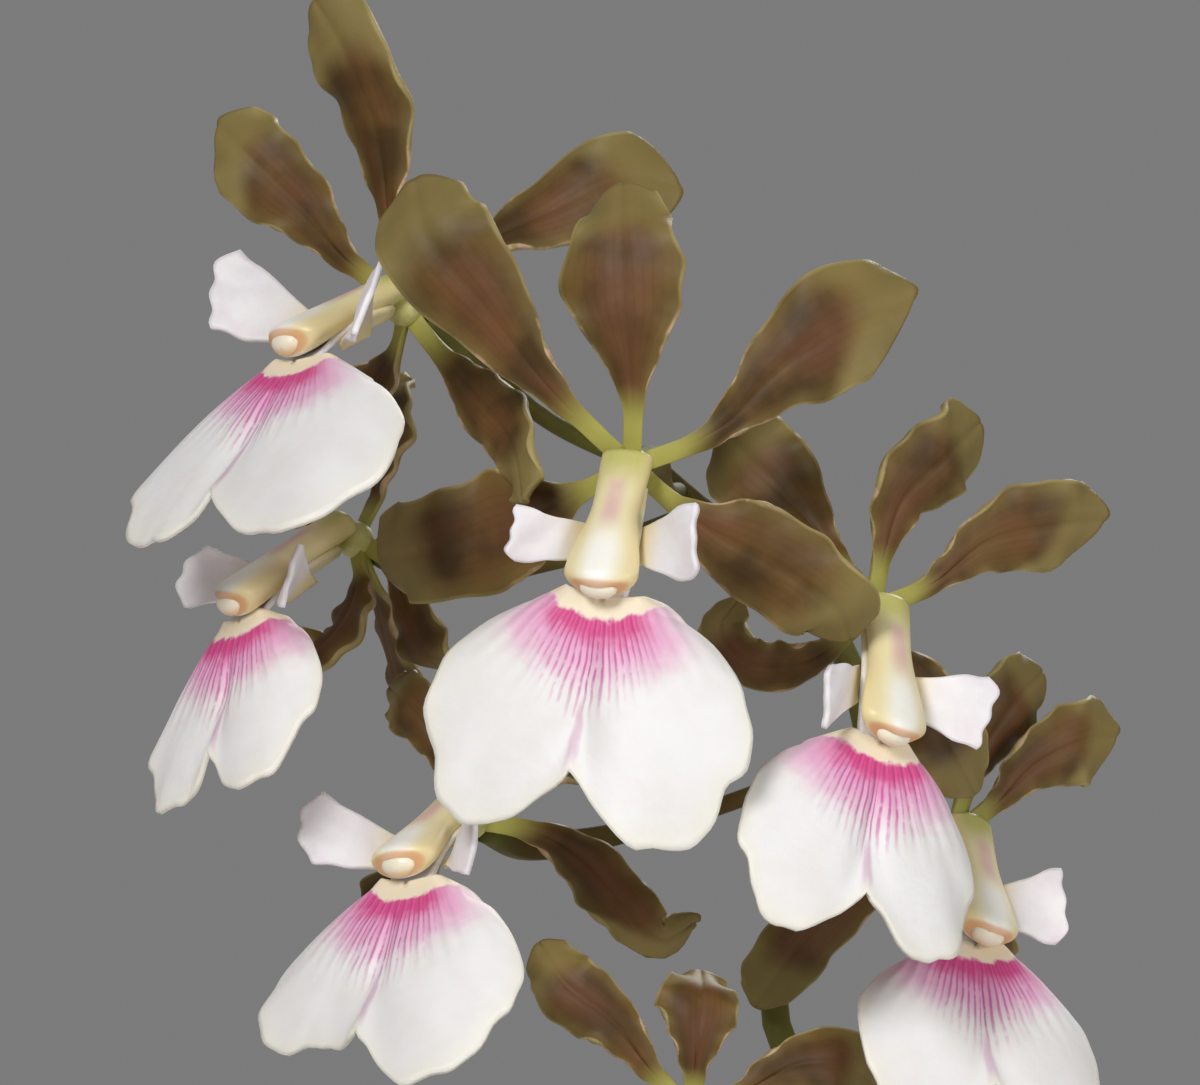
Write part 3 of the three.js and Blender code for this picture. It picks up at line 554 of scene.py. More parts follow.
def thickened(thing, thickness):
    """Gives the sheets of a piece their thickness, half to each side."""
    wall = thing.modifiers.new("thickness", "SOLIDIFY")
    wall.thickness = thickness * MM
    wall.offset = 0
    return thing


for number, (bulb, angle, reach, rise, droop) in enumerate(LEAVES, 1):
    away = Vector((math.cos(math.radians(angle)), math.sin(math.radians(angle)), 0))
    root = bulb_tip(*BULBS[bulb]) + away * LEAF_APART + Vector((0, 0, LEAF_ABOVE))
    leaf_route = [root + away * reach * part ** 1.7 + Vector((0, 0, rise * (part - droop * part ** 3)))
                  for part in LEAF_PARTS]
    leaf_line = spine(leaf_route, -away)
    sway = 2.1 * number

    def leaf_surface(s, v):
        middle, normal, side = leaf_line(s)
        width = LEAF_FOOT + (LEAF_HALF - LEAF_FOOT) * smoothstep(s, 0, LEAF_OPENS)
        width *= 1 - 0.9 * max(0, (s - LEAF_NARROWS) / (1 - LEAF_NARROWS)) ** 2
        fold = (0.62 - 0.4 * smoothstep(s, 0, 0.5)) * (math.sqrt(v * v + 0.004) - 0.06) * width
        ripple = 0.35 * s * v * v * math.sin(9 * s + sway + v)
        return middle + side * v * width + normal * (fold + ripple)

    bm = marked()
    blade(bm, leaf_surface, 72, 20)
    thickened(piece(f"strap_leaf_{number}", bm, "leaf", [f"leaf_{number}"], leaf_green), LEAF_THICK)

# The flower stalk rises from the newest bulb. It is a thin green cane with dry bracts at its joints, and each
# bloom hangs on a thin stalk of its own that swells into a ribbed ovary behind the petals.
STALK_ROUTE = [(15, 2, 165.5), (16, 5, 215), (20, 9, 270), (21, 10, 330), (19, 10, 374), (16.4, 10, 386),
               (14, 10, 394), (17.5, 10, 402), (22.5, 10, 411), (24, 10, 420), (20.5, 10, 430),
               (16.8, 10, 435), (12, 9.5, 438.6), (6.5, 8.5, 442.6), (2, 7.5, 446.5)]
STEM_RADIUS = (1.9, 1.3)
PEDICEL_RADIUS = (0.9, 1.5)
STEM_BRACTS = (0.14, 0.33, 0.52, 0.68)
BRACT_LENGTH = 13
NECK_LENGTH = 7
PEDICEL_SAG = 1.5
# how far below the stalk's tip each bloom's own stalk leaves it
BELOW_TIP = {"A": 1, "B": 7, "C": 4, "D": 23, "E": 38, "F": 44, "G": 78}
HUB = 2.3

# Blooms. heart: where the parts of the flower meet. turn: yaw, pitch and roll of the way it faces. throat:
# where the lip's fan starts, from the heart. fan: its turn. spread and trim: how wide its left and right half
# are and how much shorter their lower ends. sides: length, half height and rise of the side lobes. Each tepal
# has its half width, how much it narrows before its tip, its roll at the tip, its tip's slant and its route.
BLOOMS = {
    "A": {
        "heart": (-22.5, 0, 462.2), "turn": (-49, 30, -10), "throat": (-10.8, -9.5, -5.6),
        "fan": (-49, 30, -5), "size": 1.02, "spread": (0.92, 1.2), "trim": (0.07, 0),
        "sides": ((13.5, 4.7, 3.8), (11.5, 4.6, 0)),
        "dorsal": (4.4, 0, 8, 0, (-1.3, 1, 7.3), (-2.8, 0.5, 17.8), (-6.2, 0, 26.2), (-9, 2.4, 31)),
        "left_petal": (4.6, 0, 0, 0.08, (-6, -1, 5), (-10.5, -1, 10.2), (-15.5, 0, 15), (-18.8, 4, 18.4)),
        "right_petal": (5.2, 0, 60, 0.05, (6.5, 2, 5.6), (14, 4, 9.4), (21.5, 5, 13), (27.6, 8, 12.4)),
        "left_sepal": (3.6, 0.1, 0, 0, (-1.2, 1.5, -4.4), (-4, 3.5, -8), (-9.5, 5, -9.2), (-14.7, 6, -7)),
        "right_sepal": (3.2, 0.1, 20, 0, (3.6, -2, -4.6), (7.5, -7.5, -9.2), (11, -15, -14), (12, -20, -19.4)),
    },
    "B": {
        "heart": (-27.5, 3, 439), "turn": (-60, 22, 3), "throat": (-11.3, -6.5, -8.1),
        "fan": (-52, 14, -15), "size": 0.88, "spread": (0.86, 0.84), "trim": (0.09, 0),
        "sides": ((10.8, 3.2, -1.3), (9.5, 3.2, 0)),
        "dorsal": (3.4, 0.2, 0, 0, (1.8, 2, 4), (3, 4, 9), (3.3, 7, 13.5), (3.2, 11, 16)),
        "left_petal": (4, 0.2, 0, 0, (-3, 5, 2), (-7, 11, 4), (-10, 17, 5), (-11, 23, 4)),
        "right_petal": (3.2, 0.2, 30, 0, (3.4, -2, -2), (5.4, -4, -7), (7.5, -4, -11.8), (10.5, -1, -13)),
        "left_sepal": (3.4, 0.2, 0, 0, (2, 2.5, -5), (3.4, 5, -11), (5.2, 6, -17), (8, 8, -21.5)),
        "right_sepal": (3.6, 0.1, 0, 0, (0.4, -2, -4.2), (-1.4, -4.4, -8.6), (-4.6, -4.5, -11.4),
                        (-6.4, -2, -9)),
    },
    "C": {
        "heart": (0.2, -19, 446.2), "turn": (-14, -4, 5), "throat": (-3, -8, -12.9),
        "fan": (-16, -4, 9), "size": 1.01, "spread": (0.99, 1.04), "trim": (0, 0),
        "sides": ((9.5, 2.8, 0.8), (9.8, 3.9, 1.5)),
        "dorsal": (6.6, 0.35, 0, 0, (0, -1.5, 6.8), (-0.8, -3, 15.5), (-1.2, -1.5, 23), (-1, 3, 28)),
        "left_petal": (6.1, 0.1, 0, 0, (-8.1, -1, 7.7), (-14.4, -2, 15.6), (-20.4, -0.5, 23.2),
                       (-21.4, 4, 28.6)),
        "right_petal": (5.9, 0, 0, -0.1, (8.3, -1, 3.6), (14.8, -2, 9.8), (21, -1, 14), (28, 2.6, 16.8)),
        "left_sepal": (5.6, 0.1, 0, 0, (-7, 3, -3.4), (-15, 7.5, -6.6), (-22.6, 9, -8.8), (-25, 13.5, -9.2)),
        "right_sepal": (5.1, 0.2, 0, 0, (7.6, -1, -6.2), (14.6, -2, -10), (20.2, -2.4, -14.2),
                        (21.4, 0.5, -17)),
    },
    "D": {
        "heart": (24, -11, 432.2), "turn": (34, -2, 12), "throat": (0.7, -7.8, -13.2),
        "fan": (26, 5, 15), "size": 0.91, "spread": (0.93, 0.89), "trim": (0, 0),
        "sides": ((9.5, 3.2, -2.6), (10.3, 3.7, -0.3)),
        "dorsal": (4.6, 0.1, 0, 0, (1.2, 0, 5.8), (3, 0, 10.8), (7, 1, 14.8), (10.8, 5, 18.6)),
        "left_petal": (5, 0, -50, 0, (-3.6, 2, 5.2), (-7.8, 4, 10.4), (-11.8, 6, 14.6), (-14.6, 9, 18)),
        "right_petal": (4.6, 0, 0, -0.1, (5.5, 1, 2.2), (11.5, 3, 6.6), (17.5, 4, 8), (23.4, 8, 8.8)),
        "left_sepal": (2.5, 0.1, 30, 0, (-3, 1, -3), (-7, 2, -5.4), (-12, 1, -5.4), (-15, 2, -2), (-13, 4, 1)),
        "right_sepal": (4.4, 0.2, 0, 0, (2.3, 2, -4.7), (5.5, 3.5, -9.7), (8.5, 4, -14.7), (10.3, 6, -18.6)),
    },
    "E": {
        "heart": (-16, -4, 411), "turn": (-41, 16, -5), "throat": (-6.1, -11, -6),
        "fan": (-41, 18, -4), "size": 0.97, "spread": (1, 1.03), "trim": (0.25, 0),
        "sides": ((12, 3.6, 2.5), (9.5, 3.4, 0)),
        "dorsal": (4, 0.2, 0, 0, (1, 1, 5), (2.5, 3, 10.5), (3, 6, 16), (3.5, 10, 19)),
        "left_petal": (3.4, 0.2, 0, 0, (-2, 1, 4.5), (-4, 2.5, 9), (-6.5, 4, 12), (-8, 8, 13.2)),
        "right_petal": (4, 0.2, 0, 0, (5, 2, 3), (10, 5, 6), (15, 8, 8), (19, 11, 9)),
        "left_sepal": (3.8, 0.2, 0, 0, (-3.5, 2.5, -3), (-7, 5, -6.5), (-10, 8, -10), (-11.5, 12, -13)),
        "right_sepal": (3, 0.2, 0, -0.1, (6, 0, -1), (11.5, 0, -4), (15.5, 0, -8.5), (19, 0, -12),
                        (22.8, 1, -10)),
    },
    "F": {
        "heart": (32.5, 5, 409.5), "turn": (41, 10, 12), "throat": (1.8, -9.6, -10.9),
        "fan": (26, 20, 8), "size": 0.94, "spread": (0.89, 0.9), "trim": (0, 0),
        "sides": ((9, 3.4, 0), (8.8, 3.9, 0.5)),
        "dorsal": (4, 0.05, 0, 0, (1.3, 1, 4.5), (3.2, 2, 9), (6, 3, 13), (9, 7, 16.2)),
        "left_petal": (3.8, 0.2, 0, 0, (-5, 1, 2), (-10.5, 0.5, 3.5), (-15, 0, 3.5), (-17.5, 2, 2.5)),
        "right_petal": (4.3, 0, 0, -0.1, (4, 0.5, 3), (8, 1.5, 6.8), (12.5, 3.5, 9), (16.6, 8, 9.8)),
        "left_sepal": (3.7, 0.1, 0, 0, (-4.5, 0, -2.5), (-10.5, -1, -6), (-16, -2, -11.4), (-20, 0.5, -17.4)),
        "right_sepal": (3.8, 0.2, 0, 0, (2, 2.5, -3.5), (4, 6.5, -8.5), (5, 12, -13), (5, 18, -16)),
    },
    "G": {
        "heart": (6, -14, 382), "turn": (6, 2, 0), "throat": (0, -9.6, -12.4),
        "fan": (6, 4, -4), "size": 0.97, "spread": (1, 1), "trim": (0, 0),
        "sides": ((10, 3.6, 0.5), (10, 3.6, 0.5)),
        "dorsal": (4, 0.2, 0, 0, (0.3, -1, 4.2), (0.7, -1.5, 8.6), (1, 0, 12), (1, 5, 14)),
        "left_petal": (3.9, 0.3, 0, 0, (-4, -1, 4.5), (-7.8, -1, 9.4), (-12.4, 0, 13), (-15, 4, 17)),
        "right_petal": (3.9, 0.2, 0, 0, (5.5, -1, 2.6), (10.5, 0, 5), (15.5, 2.5, 4.8), (18.6, 6, 2.4)),
        "left_sepal": (4.4, 0.2, 0, 0, (-6, 1, -4), (-12, 3, -7.5), (-18, 5, -12), (-20, 9, -15)),
        "right_sepal": (4.4, 0.2, 0, 0, (6, 1, -4.5), (12, 3, -8.5), (17, 5, -13.5), (18.5, 9, -17)),
    },
}

stem = Finish("stalk_skin", Roughness=0.65, Specular_IOR_Level=0.2)
stalk_height = stem.height()
flush = stem.noise(11, 3, (1, 1, 0.3)).rise(0.4, 0.7)
olive = stem.blend(tint("5c6a2c"), tint("7d863e"), stem.noise(5, 3, (1, 1, 0.2)).rise(0.3, 0.7))
olive = stem.blend(olive, tint("5d4023"), (flush * 0.5 + (stalk_height / MM).rise(360, 400) * 0.4))
olive = stem.blend(olive, tint("3f3018"), stem.noise(0.8).rise(0.68, 0.78) * 0.5)
stalk_green = stem.show(olive, None, stem.noise(1, 3, (1, 1, 0.1)), 0.15)


def facing_of(yaw, pitch, roll):
    """The way a bloom faces, as its right, up and forward directions."""
    turn = Matrix.Rotation(math.radians(yaw), 3, "Z") @ Matrix.Rotation(math.radians(-pitch), 3, "X")
    turn = turn @ Matrix.Rotation(math.radians(roll), 3, "Y")
    return turn @ Vector((1, 0, 0)), turn @ Vector((0, 0, 1)), turn @ Vector((0, -1, 0))


def bract(bm, line, at, length, radius, turn, material):
    """Adds a dry scale that clasps the stalk at one place and stands off a little at its point."""
    middle, normal, side = line(at)
    ahead = (line(min(at + 0.01, 1))[0] - line(max(at - 0.01, 0))[0]).normalized()

    def surface(s, v):
        open_angle = turn + v * (1.9 - 1.7 * s)
        out = radius + 0.25 + 0.9 * s * s
        return middle + ahead * length * s + (side * math.cos(open_angle) + normal * math.sin(open_angle)) * out
    blade(bm, surface, 8, 10, material)


stalk_line = spine(STALK_ROUTE, (0, -1, 0))
stalk_points = smooth_route(STALK_ROUTE, 200)
stalk_length = sum((b - a).length for a, b in zip(stalk_points, stalk_points[1:]))
bm = marked()
bracts = marked()
cane(bm, stalk_line, lambda s, angle: STEM_RADIUS[0] + (STEM_RADIUS[1] - STEM_RADIUS[0]) * s, 160, 20)
for number, at in enumerate(STEM_BRACTS):
    bract(bracts, stalk_line, at, BRACT_LENGTH - 2 * number, STEM_RADIUS[0], 2.4 * number, 1)
for number, (name, bloom) in enumerate(BLOOMS.items()):
    forward = facing_of(*bloom["turn"])[2]
    leaves_at = 1 - BELOW_TIP[name] / stalk_length
    start = stalk_line(leaves_at)[0]
    end = Vector(bloom["heart"]) - forward * (HUB + GAP)
    neck = end - forward * NECK_LENGTH
    sag = start.lerp(neck, 0.55) - Vector((0, 0, PEDICEL_SAG))

    def ovary(s, angle):
        swollen = PEDICEL_RADIUS[0] + (PEDICEL_RADIUS[1] - PEDICEL_RADIUS[0]) * smoothstep(s, 0.45, 0.85)
        return swollen * (1 + 0.07 * math.sin(6 * angle) * smoothstep(s, 0.4, 0.7))

    cane(bm, spine([start, sag, neck, end], (0, 0.3, 1)), ovary, 48, 18)
    if BELOW_TIP[name] > 10:
        bract(bracts, stalk_line, leaves_at - 0.006, 2.6, STEM_RADIUS[1], 2.4 * number, 0)
piece("stalk_with_ovaries", bm, "stalk", ["flower_stalk"], stalk_green)
thickened(piece("stalk_bracts", bracts, "stalk", [], stalk_green, dry_straw), 0.3)

# The sepals and petals grow from one small core behind the lip. They are thick and satin, brown with olive
# margins and tips, on narrow yellow-green claws. Their margins ripple and their tips turn back, and the olive
# tips are painted lighter still, as painted light where the turned-back tips tilt up into the lamps' light.
TEPALS = {"dorsal": 0.68, "left_petal": 0.77, "right_petal": 0.77, "left_sepal": 0.52, "right_sepal": 0.52}
TEPAL_THICK = 0.75
TEPAL_START = 0.05
CLAW_HALF = 0.85
CLAW_END = 0.15
TAPER = (0.62, 0.92)
TIP_FROM = 0.8
TIP_CUT = 0.7
TIP_ARC = 0.06
SWELLS = (0.055, 0.025)
CORE = 1.9
CUP = -0.18
RIPPLE = 0.7
CRINKLE = 0.4
GROOVE = 0.22
GROOVE_HALF = 0.13

satin = Finish("tepal_skin", Specular_IOR_Level=0.3)
tepal_along = satin.mark("along")
tepal_edge = abs(satin.mark("across"))
brown_skin = satin.blend(tint("45300f"), tint("694b22"), satin.noise(7, 3).rise(0.35, 0.65))
flushed = (1 - tepal_edge.rise(0.2, 0.8)) * satin.noise(9, 2).rise(0.42, 0.62)
brown_skin = satin.blend(brown_skin, tint("6b4127"), flushed * 0.55)
brown_skin = satin.blend(brown_skin, tint("3a2710"), (satin.mark("across") * 40).wave().rise(0.2, 1) * 0.12)
brown_skin = satin.blend(brown_skin, tint("786634"), tepal_edge.rise(0.5, 0.95) * 0.5)
# olive tips, lightened further as painted light where the turned-back tips tilt up into the lamps' light
olive_tip_and_painted_light = (tepal_along + satin.noise(6) * 0.1).rise(0.76, 0.9)
brown_skin = satin.blend(brown_skin, tint("8e7f4a"), olive_tip_and_painted_light * 0.65)
brown_skin = satin.blend(brown_skin, tint("b3a26a"), tepal_edge.rise(0.91, 1) * 0.65)
# painted highlight: pinkish-white glints on the ruffled margins of the tepals' lower halves
painted_frill_highlight = tepal_edge.rise(0.88, 0.98) * tepal_along.rise(0.2, 0.3) * (1 - tepal_along.rise(0.42, 0.6))
brown_skin = satin.blend(brown_skin, tint("cda98c"), painted_frill_highlight * satin.noise(1.6).rise(0.4, 0.6) * 0.8)
brown_skin = satin.blend(brown_skin, tint("a5a04e"), 1 - tepal_along.rise(0.08, 0.26))
tepal_brown = satin.show(brown_skin, satin.noise(2.5) * 0.12 + 0.48, satin.noise(2.2, 2), 0.08)

green_core = Finish("core_skin", Roughness=0.5)
lime_skin = green_core.blend(tint("b5b062"), tint("cfca86"), green_core.noise(1.5).rise(0.3, 0.7))
core_green = green_core.show(lime_skin, None, green_core.noise(0.8), 0.06)


def tepal_surface(heart, facing, shape, full, phase):
    """The sheet of one sepal or petal. It reaches its full width at that part of its length."""
    wide, taper, roll, slant, *route = shape
    line = spine([Vector((0, 0, 0)), *route], facing, roll)

    def surface(part, v):
        s = TEPAL_START + (1 + slant * v - (TIP_ARC + abs(slant)) * v * v - TEPAL_START) * part
        middle, normal, side = line(s)
        half = CLAW_HALF + (wide - CLAW_HALF) * smoothstep(s, CLAW_END, full)
        half *= 1 - taper * smoothstep(s, *TAPER)
        half *= math.sqrt(1 - TIP_CUT * max(0, (s - TIP_FROM) / (1 - TIP_FROM)) ** 2)
        bulk = smoothstep(s, CLAW_END, 0.4)
        swelling = SWELLS[0] * math.sin(11 * s + phase + v) + SWELLS[1] * math.sin(29 * s + 2 * phase + 2 * v)
        half *= 1 + bulk * swelling
        ripple = RIPPLE * s * v * v * math.sin(6 * math.pi * s + v)
        ripple += CRINKLE * bulk * v ** 4 * math.sin(38 * s + phase + 1.5 * v)
        groove = -GROOVE * math.exp(-(v / GROOVE_HALF) ** 2) * bulk
        return heart + middle + side * v * half + normal * (CUP * half * v * v + ripple + groove)
    return surface


for number, (name, bloom) in enumerate(BLOOMS.items()):
    heart = Vector(bloom["heart"])
    forward = facing_of(*bloom["turn"])[2]

    def core_skin(s, angle):
        turn = math.pi * (0.02 + 0.96 * s)
        outward = Vector((math.sin(turn) * math.cos(angle), math.sin(turn) * math.sin(angle), -math.cos(turn)))
        return heart + outward * CORE

    bm = marked()
    for i, (kind, full) in enumerate(TEPALS.items()):
        blade(bm, tepal_surface(heart, forward, bloom[kind], full, 1.3 * number + 2.1 * i), 56, 20)
    thickened(piece(f"tepals_{name}", bm, "tepal", [f"bloom_{name}_tepals"], tepal_brown), TEPAL_THICK)
    bm = marked()
    tube(bm, core_skin, 12, 20)
    piece(f"core_{name}", bm, "tepal", [], core_green)

# The lip is the white petal that insects land on: a claw below the column, two blunt side lobes beside it, and
# a broad notched fan with ruffled edges. Magenta veins spread over the fan from a bright spot at its throat.
LIP_THICK = 0.6
FAN_END = 100
FAN_OUTLINE = [(0, 17.3), (6, 19.6), (12, 22.3), (18, 24.5), (24, 25.6), (30, 25.4), (36, 23.9),
               (43, 22), (50, 21), (58, 18.6), (66, 15.3), (73, 12.2), (82, 8), (100, 4.6)]
THROAT = 3.4
FAN_SLOPE = 75
FAN_DROOP = 3.6
FAN_RUFFLE = 0.7
CREASE = 0.9
CREASE_HALF = 9
FAN_ROOT = 0.3
RIM_WAVES = (0.02, 0.014)
TRIM_ANGLE = 22
TRIM_WIDTH = 14
VEINS_MEET = 6
CLAW_STEPS = 12
LIP_CLAW_HALF = 2.1
LIP_CLAW_SWELL = 0.5
CLAW_TROUGH = 1.5
LOBE_ROOT = 0.58
LOBE_APART = 2.05
LOBE_FOOT = 2.0
LOBE_WAIST = 0.14
LOBE_CURL = 1.2

silk = Finish("lip_fan", Roughness=0.5, Subsurface_Weight=0.15, Subsurface_Scale=0.001)
fan_edge = silk.mark("along")
out = silk.mark("out")
vein = silk.mark("vein") + (silk.noise(5, 2) - 0.5) * 4
off = abs(vein)
ragged = out + silk.noise(1.5) * 2.5
below_skirt = (out + silk.noise(1.6) * 1.8).rise(2.6, 3.3)
flame = (1 - ragged.rise(4.4, 7)) * (1 - off.rise(24, 42))
haze = (1 - ragged.rise(6.5, 11.5)) * (1 - off.rise(36, 54))
stripes = (vein * (2 * math.pi / 3)).wave().rise(-0.1, 0.9) * silk.noise(1.3, 2).rise(0.25, 0.5)
lines = stripes * (1 - (ragged + off * 0.16).rise(8.5, 15.5)) * (1 - off.rise(22, 40))
crease_line = (1 - off.rise(0.4, 2)) * out.rise(9, 12) * (1 - fan_edge.rise(0.85, 1))
white = silk.blend(tint("f3f1f1"), tint("edeae7"), silk.noise(7, 3).rise(0.35, 0.7))
white = silk.blend(white, tint("f1ecd6"), fan_edge.rise(0.86, 1) * 0.45)
white = silk.blend(white, tint("e79dc8"), haze * below_skirt * 0.85)
white = silk.blend(white, tint("cb57a2"), lines * below_skirt * 0.85)
white = silk.blend(white, tint("d42c80"), flame * below_skirt * 0.85)
white = silk.blend(white, tint("cfa3bf"), crease_line * 0.6)
white = silk.blend(white, tint("f1e2c6"), 1 - below_skirt)
pleats = (vein * (2 * math.pi / 6)).wave() * below_skirt * (1 - ragged.rise(9, 15)) * 0.6
lip_white = silk.show(white, silk.noise(1.5) * 0.15 + 0.42, pleats + silk.noise(2.5, 3) * 1.2, 0.08)

ivory = Finish("lip_lobes", Roughness=0.5, Subsurface_Weight=0.15, Subsurface_Scale=0.001)
lobe_along = ivory.mark("along")
cream = ivory.blend(tint("ece6ea"), tint("f2eff1"), ivory.noise(3, 3).rise(0.3, 0.7))
cream = ivory.blend(cream, tint("ecdca8"), 1 - lobe_along.rise(0.1, 0.5))
# painted shade: faint lavender patches toward the side lobes' tips
cream = ivory.blend(cream, tint("e2cede"), ivory.noise(2).rise(0.5, 0.8) * lobe_along.rise(0.4, 1) * 0.4)
lobe_ivory = ivory.show(cream, None, ivory.noise(2, 3), 0.08)


def fan_reach(angle):
    """Distance of the fan's edge from the throat at an angle off its axis."""
    at = abs(angle)
    for (a0, r0), (a1, r1) in zip(FAN_OUTLINE, FAN_OUTLINE[1:]):
        if at <= a1:
            return r0 + (r1 - r0) * (at - a0) / (a1 - a0)
    return FAN_OUTLINE[-1][1]


def claw_frame(bloom):
    """The directions at a bloom's claw: along it, up off it and across it."""
    right = facing_of(*bloom["turn"])[0]
    axis = Vector(bloom["throat"]).normalized()
    above = axis.cross(right).normalized()
    return axis, above, above.cross(axis)


slope = math.radians(FAN_SLOPE)
for number, (name, bloom) in enumerate(BLOOMS.items()):
    heart = Vector(bloom["heart"])
    throat = Vector(bloom["throat"])
    size = bloom["size"]
    right, up, forward = facing_of(*bloom["turn"])
    fan_right, fan_up, fan_forward = facing_of(*bloom["fan"])
    down = fan_forward * math.cos(slope) - fan_up * math.sin(slope)
    proud = fan_up * math.cos(slope) + fan_forward * math.sin(slope)
    axis, above, lateral = claw_frame(bloom)
    below = above * (-LIP_THICK / 2 - 0.1)
    phase = 1.9 * number

    def fan_surface(t, v):
        angle = v * FAN_END
        turn = math.radians(angle)
        off = math.sin(turn)
        rim = 1 + t ** 4 * (RIM_WAVES[0] * math.sin(13 * turn + phase) * math.sin(5 * turn + 2 * phase)
                            + RIM_WAVES[1] * math.sin(29 * turn - phase) * math.sin(7 * turn - phase))
        rim *= 1 - bloom["trim"][v > 0] * math.exp(-((abs(angle) - TRIM_ANGLE) / TRIM_WIDTH) ** 2)
        edge = fan_reach(angle) * rim
        reach = FAN_ROOT + (edge - FAN_ROOT) * t
        formed = max(0, (reach - THROAT) / (edge - THROAT))
        droop = FAN_DROOP * formed ** 2 * math.sqrt(math.sqrt(off * off + 0.0004))
        ruffle = FAN_RUFFLE * formed ** 3 * math.sin(5 * turn) + 0.25 * t ** 5 * math.sin(15 * turn + phase)
        crease = CREASE * math.exp(-(angle / CREASE_HALF) ** 2) * math.sin(math.pi * formed)
        across = fan_right * off * bloom["spread"][v > 0] + down * math.cos(turn)
        return heart + throat + across * size * reach + proud * (size * (ruffle - droop) - crease)

    claw_end = throat + down * 0.6 * THROAT + below * 3
    claw_points = smooth_route([axis * (HUB + LIP_THICK), throat + below, claw_end], CLAW_STEPS)

    def claw_surface(s, v):
        at = min(int(s * CLAW_STEPS), CLAW_STEPS - 1)
        middle = claw_points[at].lerp(claw_points[at + 1], s * CLAW_STEPS - at)
        half = LIP_CLAW_HALF + LIP_CLAW_SWELL * math.sin(math.pi * s)
        trough = CLAW_TROUGH * math.sin(math.pi * min(1, 0.25 + s)) * v * v
        return heart + middle + lateral * v * half + above * trough

    def lobe_surface(hand, length, tall, rise):
        outward = (right * hand + forward) * math.sqrt(0.5)
        back = up.cross(outward) * hand
        root = throat * LOBE_ROOT + below + lateral * hand * LOBE_APART

        def surface(s, v):
            across = (-axis).lerp(up, min(1, 1.5 * s)).normalized()
            wide = LOBE_FOOT + (tall - LOBE_FOOT) * smoothstep(s, 0, 0.8)
            wide *= 1 - LOBE_WAIST * math.sin(math.pi * s) + 0.04 * s * math.sin(13 * s + phase)
            end = 0.98 - 0.1 * v ** 4 + 0.03 * math.sin(3 * v + phase) - 0.02 * math.sin(8 * v + phase)
            place = root + outward * length * s * (1 - smoothstep(s, 0.4, 1) * (1 - end)) + up * rise * s
            wave = 0.3 * s * math.sin(7 * s + 2 * v + phase)
            return heart + place + across * v * wide + back * (LOBE_CURL * s * s + wave)
        return surface

    bm = marked()
    out_mark = bm.verts.layers.float.new("out")
    vein_mark = bm.verts.layers.float.new("vein")
    blade(bm, fan_surface, 36, 110)
    for vert in bm.verts:
        spot = vert.co / MM - heart - throat
        from_meeting = Vector((spot.dot(fan_right), spot.dot(down) + VEINS_MEET))
        vert[out_mark] = from_meeting.length - VEINS_MEET
        vert[vein_mark] = math.degrees(math.atan2(*from_meeting))
    blade(bm, claw_surface, 12, 10, 1)
    for hand, sizes in zip((-1, 1), bloom["sides"]):
        blade(bm, lobe_surface(hand, *sizes), 26, 20, 1)
    thickened(piece(f"lip_{name}", bm, "lip", [f"bloom_{name}_lip"], lip_white, lobe_ivory), LIP_THICK)

# The column stands over the claw. It is a fleshy rod, green at its base, cream with a rose streak along its
# back, and flares to a rounded hood with an orange rim, under which the pale anther cap sits.
COLUMN_HALF = 2.6
COLUMN_WAIST = 0.2
COLUMN_FLARE = 1.35
COLUMN_DEEP = 1.9
COLUMN_CLEAR = 0.45
COLUMN_BASE = 0.4
COLUMN_PAST = 0.9
HOOD_BACK = 0.7
CAP_WIDE = 1.9
CAP_DEEP = 1.1
CAP_TALL = 1.2
CAP_INSIDE = 0.7

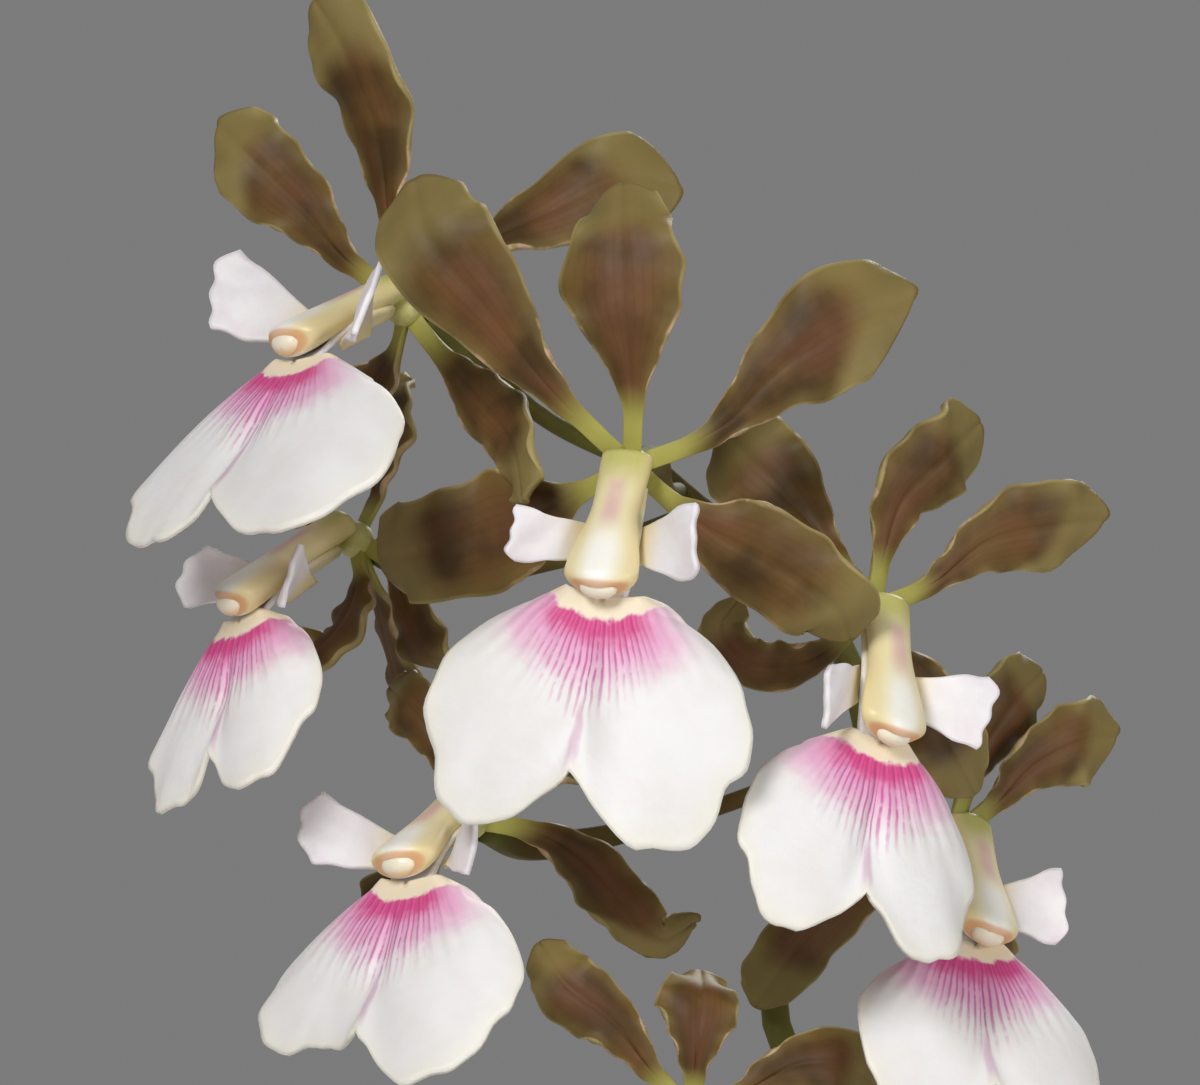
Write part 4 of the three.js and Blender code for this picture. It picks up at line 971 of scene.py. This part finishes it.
flesh = Finish("column_skin", Roughness=0.38, Subsurface_Weight=0.15, Subsurface_Scale=0.001)
column_along = flesh.mark("along")
column_side = abs(flesh.mark("across"))
butter = flesh.blend(tint("c4bf70"), tint("ece0b2"), (column_along + flesh.noise(2) * 0.12).rise(0.1, 0.4))
butter = flesh.blend(butter, tint("e5d196"), column_side.rise(0.5, 0.95) * 0.6)
# painted highlight: the column's upper half is whitened along its middle, away from its flanks
butter = flesh.blend(butter, tint("fbf8ee"), column_along.rise(0.45, 0.75) * (1 - column_side.rise(0.15, 0.8)))
streak = (1 - column_side.rise(0.05, 0.6)) * column_along.rise(0.15, 0.3) * (1 - column_along.rise(0.45, 0.65))
butter = flesh.blend(butter, tint("d8a3b2"), streak * (flesh.noise(2.5, 2) * 0.5 + 0.35))
butter = flesh.blend(butter, tint("e0a06c"), column_along.rise(0.955, 0.985) * 0.75)
column_cream = flesh.show(butter, flesh.noise(2) * 0.15 + 0.3, flesh.noise(1.5, 3), 0.08)
cap = Finish("anther_cap", Roughness=0.35)
cap_colour = cap.blend(tint("f0d9a0"), tint("f6eed6"), cap.mark("along").rise(0.15, 0.6))
anther_cream = cap.show(cap.blend(cap_colour, tint("dfa66e"), cap.noise(0.9).rise(0.6, 0.8) * 0.4), None,
                        cap.noise(0.7), 0.06)

for name, bloom in BLOOMS.items():
    heart = Vector(bloom["heart"])
    axis, above, lateral = claw_frame(bloom)
    offset = above * (COLUMN_DEEP + COLUMN_CLEAR)
    column_end = Vector(bloom["throat"]).length + COLUMN_PAST

    def column_skin(s, angle):
        half = COLUMN_HALF - COLUMN_WAIST * smoothstep(s, 0, 0.35) + COLUMN_FLARE * smoothstep(s, 0.35, 0.9)
        rounding = math.sqrt(1 - 0.75 * max(0, (s - 0.86) / 0.14) ** 3)
        hood = HOOD_BACK * s ** 4 * math.cos(angle) ** 2
        middle = axis * (COLUMN_BASE + (column_end - COLUMN_BASE) * s - hood) + offset
        keel = COLUMN_DEEP * (0.8 + 0.2 * s) * math.sin(angle)
        return heart + middle + (lateral * half * math.cos(angle) + above * keel) * rounding

    def cap_skin(s, angle):
        turn = math.pi * (0.02 + 0.96 * s)
        middle = axis * (column_end - CAP_INSIDE) + offset - above * 0.2
        bulge = (lateral * CAP_WIDE * math.cos(angle) + axis * CAP_DEEP * math.sin(angle)) * math.sin(turn)
        return heart + middle + bulge - above * CAP_TALL * math.cos(turn)

    bm = marked()
    tube(bm, column_skin, 40, 32)
    tube(bm, cap_skin, 14, 24, 1)
    piece(f"column_with_cap_{name}", bm, "column", [f"bloom_{name}_column"], column_cream, anther_cream)
